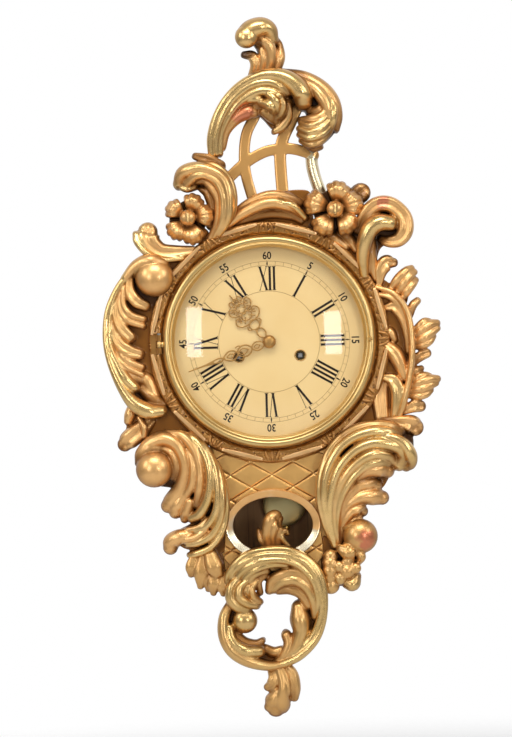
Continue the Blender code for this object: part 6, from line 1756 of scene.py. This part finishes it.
# Finishes of the frame's own pieces
NODE_FINISHES = {
    "ground_board": PANEL_GILDING, "case_box": CASE_WOOD, "back_cover": BACK_WOOD, "hanger_plate": STEEL,
    "dial_plate": DIAL_CREAM, "hinge_bracket": RING_GILDING, "hinge_pin": STEEL, "bezel_pull": BEZEL_BRASS,
    "upper_strap": STEEL, "lower_strap": STEEL, "time_winding_arbor": STEEL, "strike_winding_arbor": STEEL,
    "anchor": STEEL, "suspension_spring": STEEL, "hammer": STEEL, "gong_rod": BLUED_STEEL,
    "gong_block": STEEL,
}
for name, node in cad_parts.items():
    dressed(node, NODE_FINISHES.get(name, MOVEMENT_BRASS))


# Camera, where the photograph was taken from
VIEW_DISTANCE = 3000.0
VIEW_CENTRE = (-14.05, -26.6)
VIEW_HEIGHT = 737.0
VIEW_ROLL = math.radians(1.6)
SENSOR = 36.0

camera = bpy.data.objects.new("camera", bpy.data.cameras.new("camera"))
bpy.context.scene.collection.objects.link(camera)
camera.location = spot(VIEW_CENTRE[0], VIEW_DISTANCE, VIEW_CENTRE[1])
level = Matrix.Rotation(math.radians(90), 3, "X")
camera.rotation_euler = (level @ Matrix.Rotation(VIEW_ROLL, 3, "Z").inverted()).to_euler()
camera.data.sensor_fit = "VERTICAL"
camera.data.sensor_height = SENSOR
camera.data.lens = SENSOR * (VIEW_DISTANCE - BEZEL_FRONT) / VIEW_HEIGHT
bpy.context.scene.camera = camera

bpy.context.scene.view_settings.view_transform = "Standard"


def softbox(name, place, aim, width, height, power):
    lamp = bpy.data.lights.new(name, "AREA")
    lamp.shape = "RECTANGLE"
    lamp.size = width
    lamp.size_y = height
    lamp.energy = power
    box = bpy.data.objects.new(name, lamp)
    box.location = place
    box.rotation_euler = (Vector(aim) - Vector(place)).to_track_quat("-Z", "Y").to_euler()
    bpy.context.scene.collection.objects.link(box)


# Each lamp's place and aim in metres, width, height and power
SOFTBOXES = {
    "left_softbox": ((-1.345, -2.5, 0.23), (0, 0, 0), 0.28, 0.9, 9.0),
    "right_softbox": ((1.15, -2.5, 0.15), (0, 0, 0), 0.3, 0.76, 8.5),
    "top_softbox": ((0.0, -1.1, 1.3), (0, 0, 0.15), 1.1, 0.6, 14),
    "left_panel": ((-1.6, -1.2, 0.9), (0, 0, 0.1), 0.6, 0.9, 7.5),
    "right_panel": ((1.6, -1.2, 0.8), (0, 0, 0.1), 0.6, 0.9, 7),
}
for name, lamp in SOFTBOXES.items():
    softbox(name, *lamp)

ROOM_LEVEL = 0.38
AMBIENT_LEVEL = 1.0
SIDE_SHARE = 0.35
LOW_SHARE = 0.34
OVERHEAD_RANGE = (-0.8, 0.6)
BEHIND_RANGE = (-0.3, 0.9)
FACING_RANGE = (0.4, 1.0)
world = bpy.data.worlds.new("studio")
bpy.context.scene.world = world
world.use_nodes = True
world.node_tree.nodes.clear()
sky = Nodes(world.node_tree)


def path(ray):
    return sky.add("ShaderNodeLightPath", output=ray)


def backdrop(strength):
    return sky.add("ShaderNodeBackground", None, {"Color": (1, 1, 1, 1), "Strength": strength})


# Plain white is seen behind the clock. Metal and glass show that white too, and the dimmer room in front.
# The room is lightest overhead
direction = sky.add("ShaderNodeTexCoord", output="Generated")
behind = sky.add("ShaderNodeSeparateXYZ", None, {"Vector": direction}, output="Y")
above = sky.add("ShaderNodeSeparateXYZ", None, {"Vector": direction}, output="Z")
overhead = sky.step(above, *OVERHEAD_RANGE, LOW_SHARE)
white_share = sky.step(behind, *BEHIND_RANGE, ROOM_LEVEL) * overhead
facing = sky.step(behind.maths("ABSOLUTE", behind), *FACING_RANGE, SIDE_SHARE)
mirrored = sky.larger(path("Is Glossy Ray"), path("Is Transmission Ray"))
lit = sky.add("ShaderNodeMixShader", None,
              {0: mirrored, 1: backdrop(overhead * facing * AMBIENT_LEVEL), 2: backdrop(white_share)})
shown = sky.add("ShaderNodeMixShader", None, {0: path("Is Camera Ray"), 1: lit, 2: backdrop(1.0)})
sky.add("ShaderNodeOutputWorld", None, {"Surface": shown})

floor_height = CAD_BOX[0][2] / MM - FLOOR_DROP
corners = [(x, d, floor_height) for x, d in ((-1, 1), (1, 1), (1, -1), (-1, -1))]
floor_mesh = mesh_of("floor", [(x * FLOOR_HALF, d * FLOOR_HALF, z) for x, d, z in corners], [(0, 1, 2, 3)])
floor = new_object("floor", floor_mesh, pale_floor(floor_height))
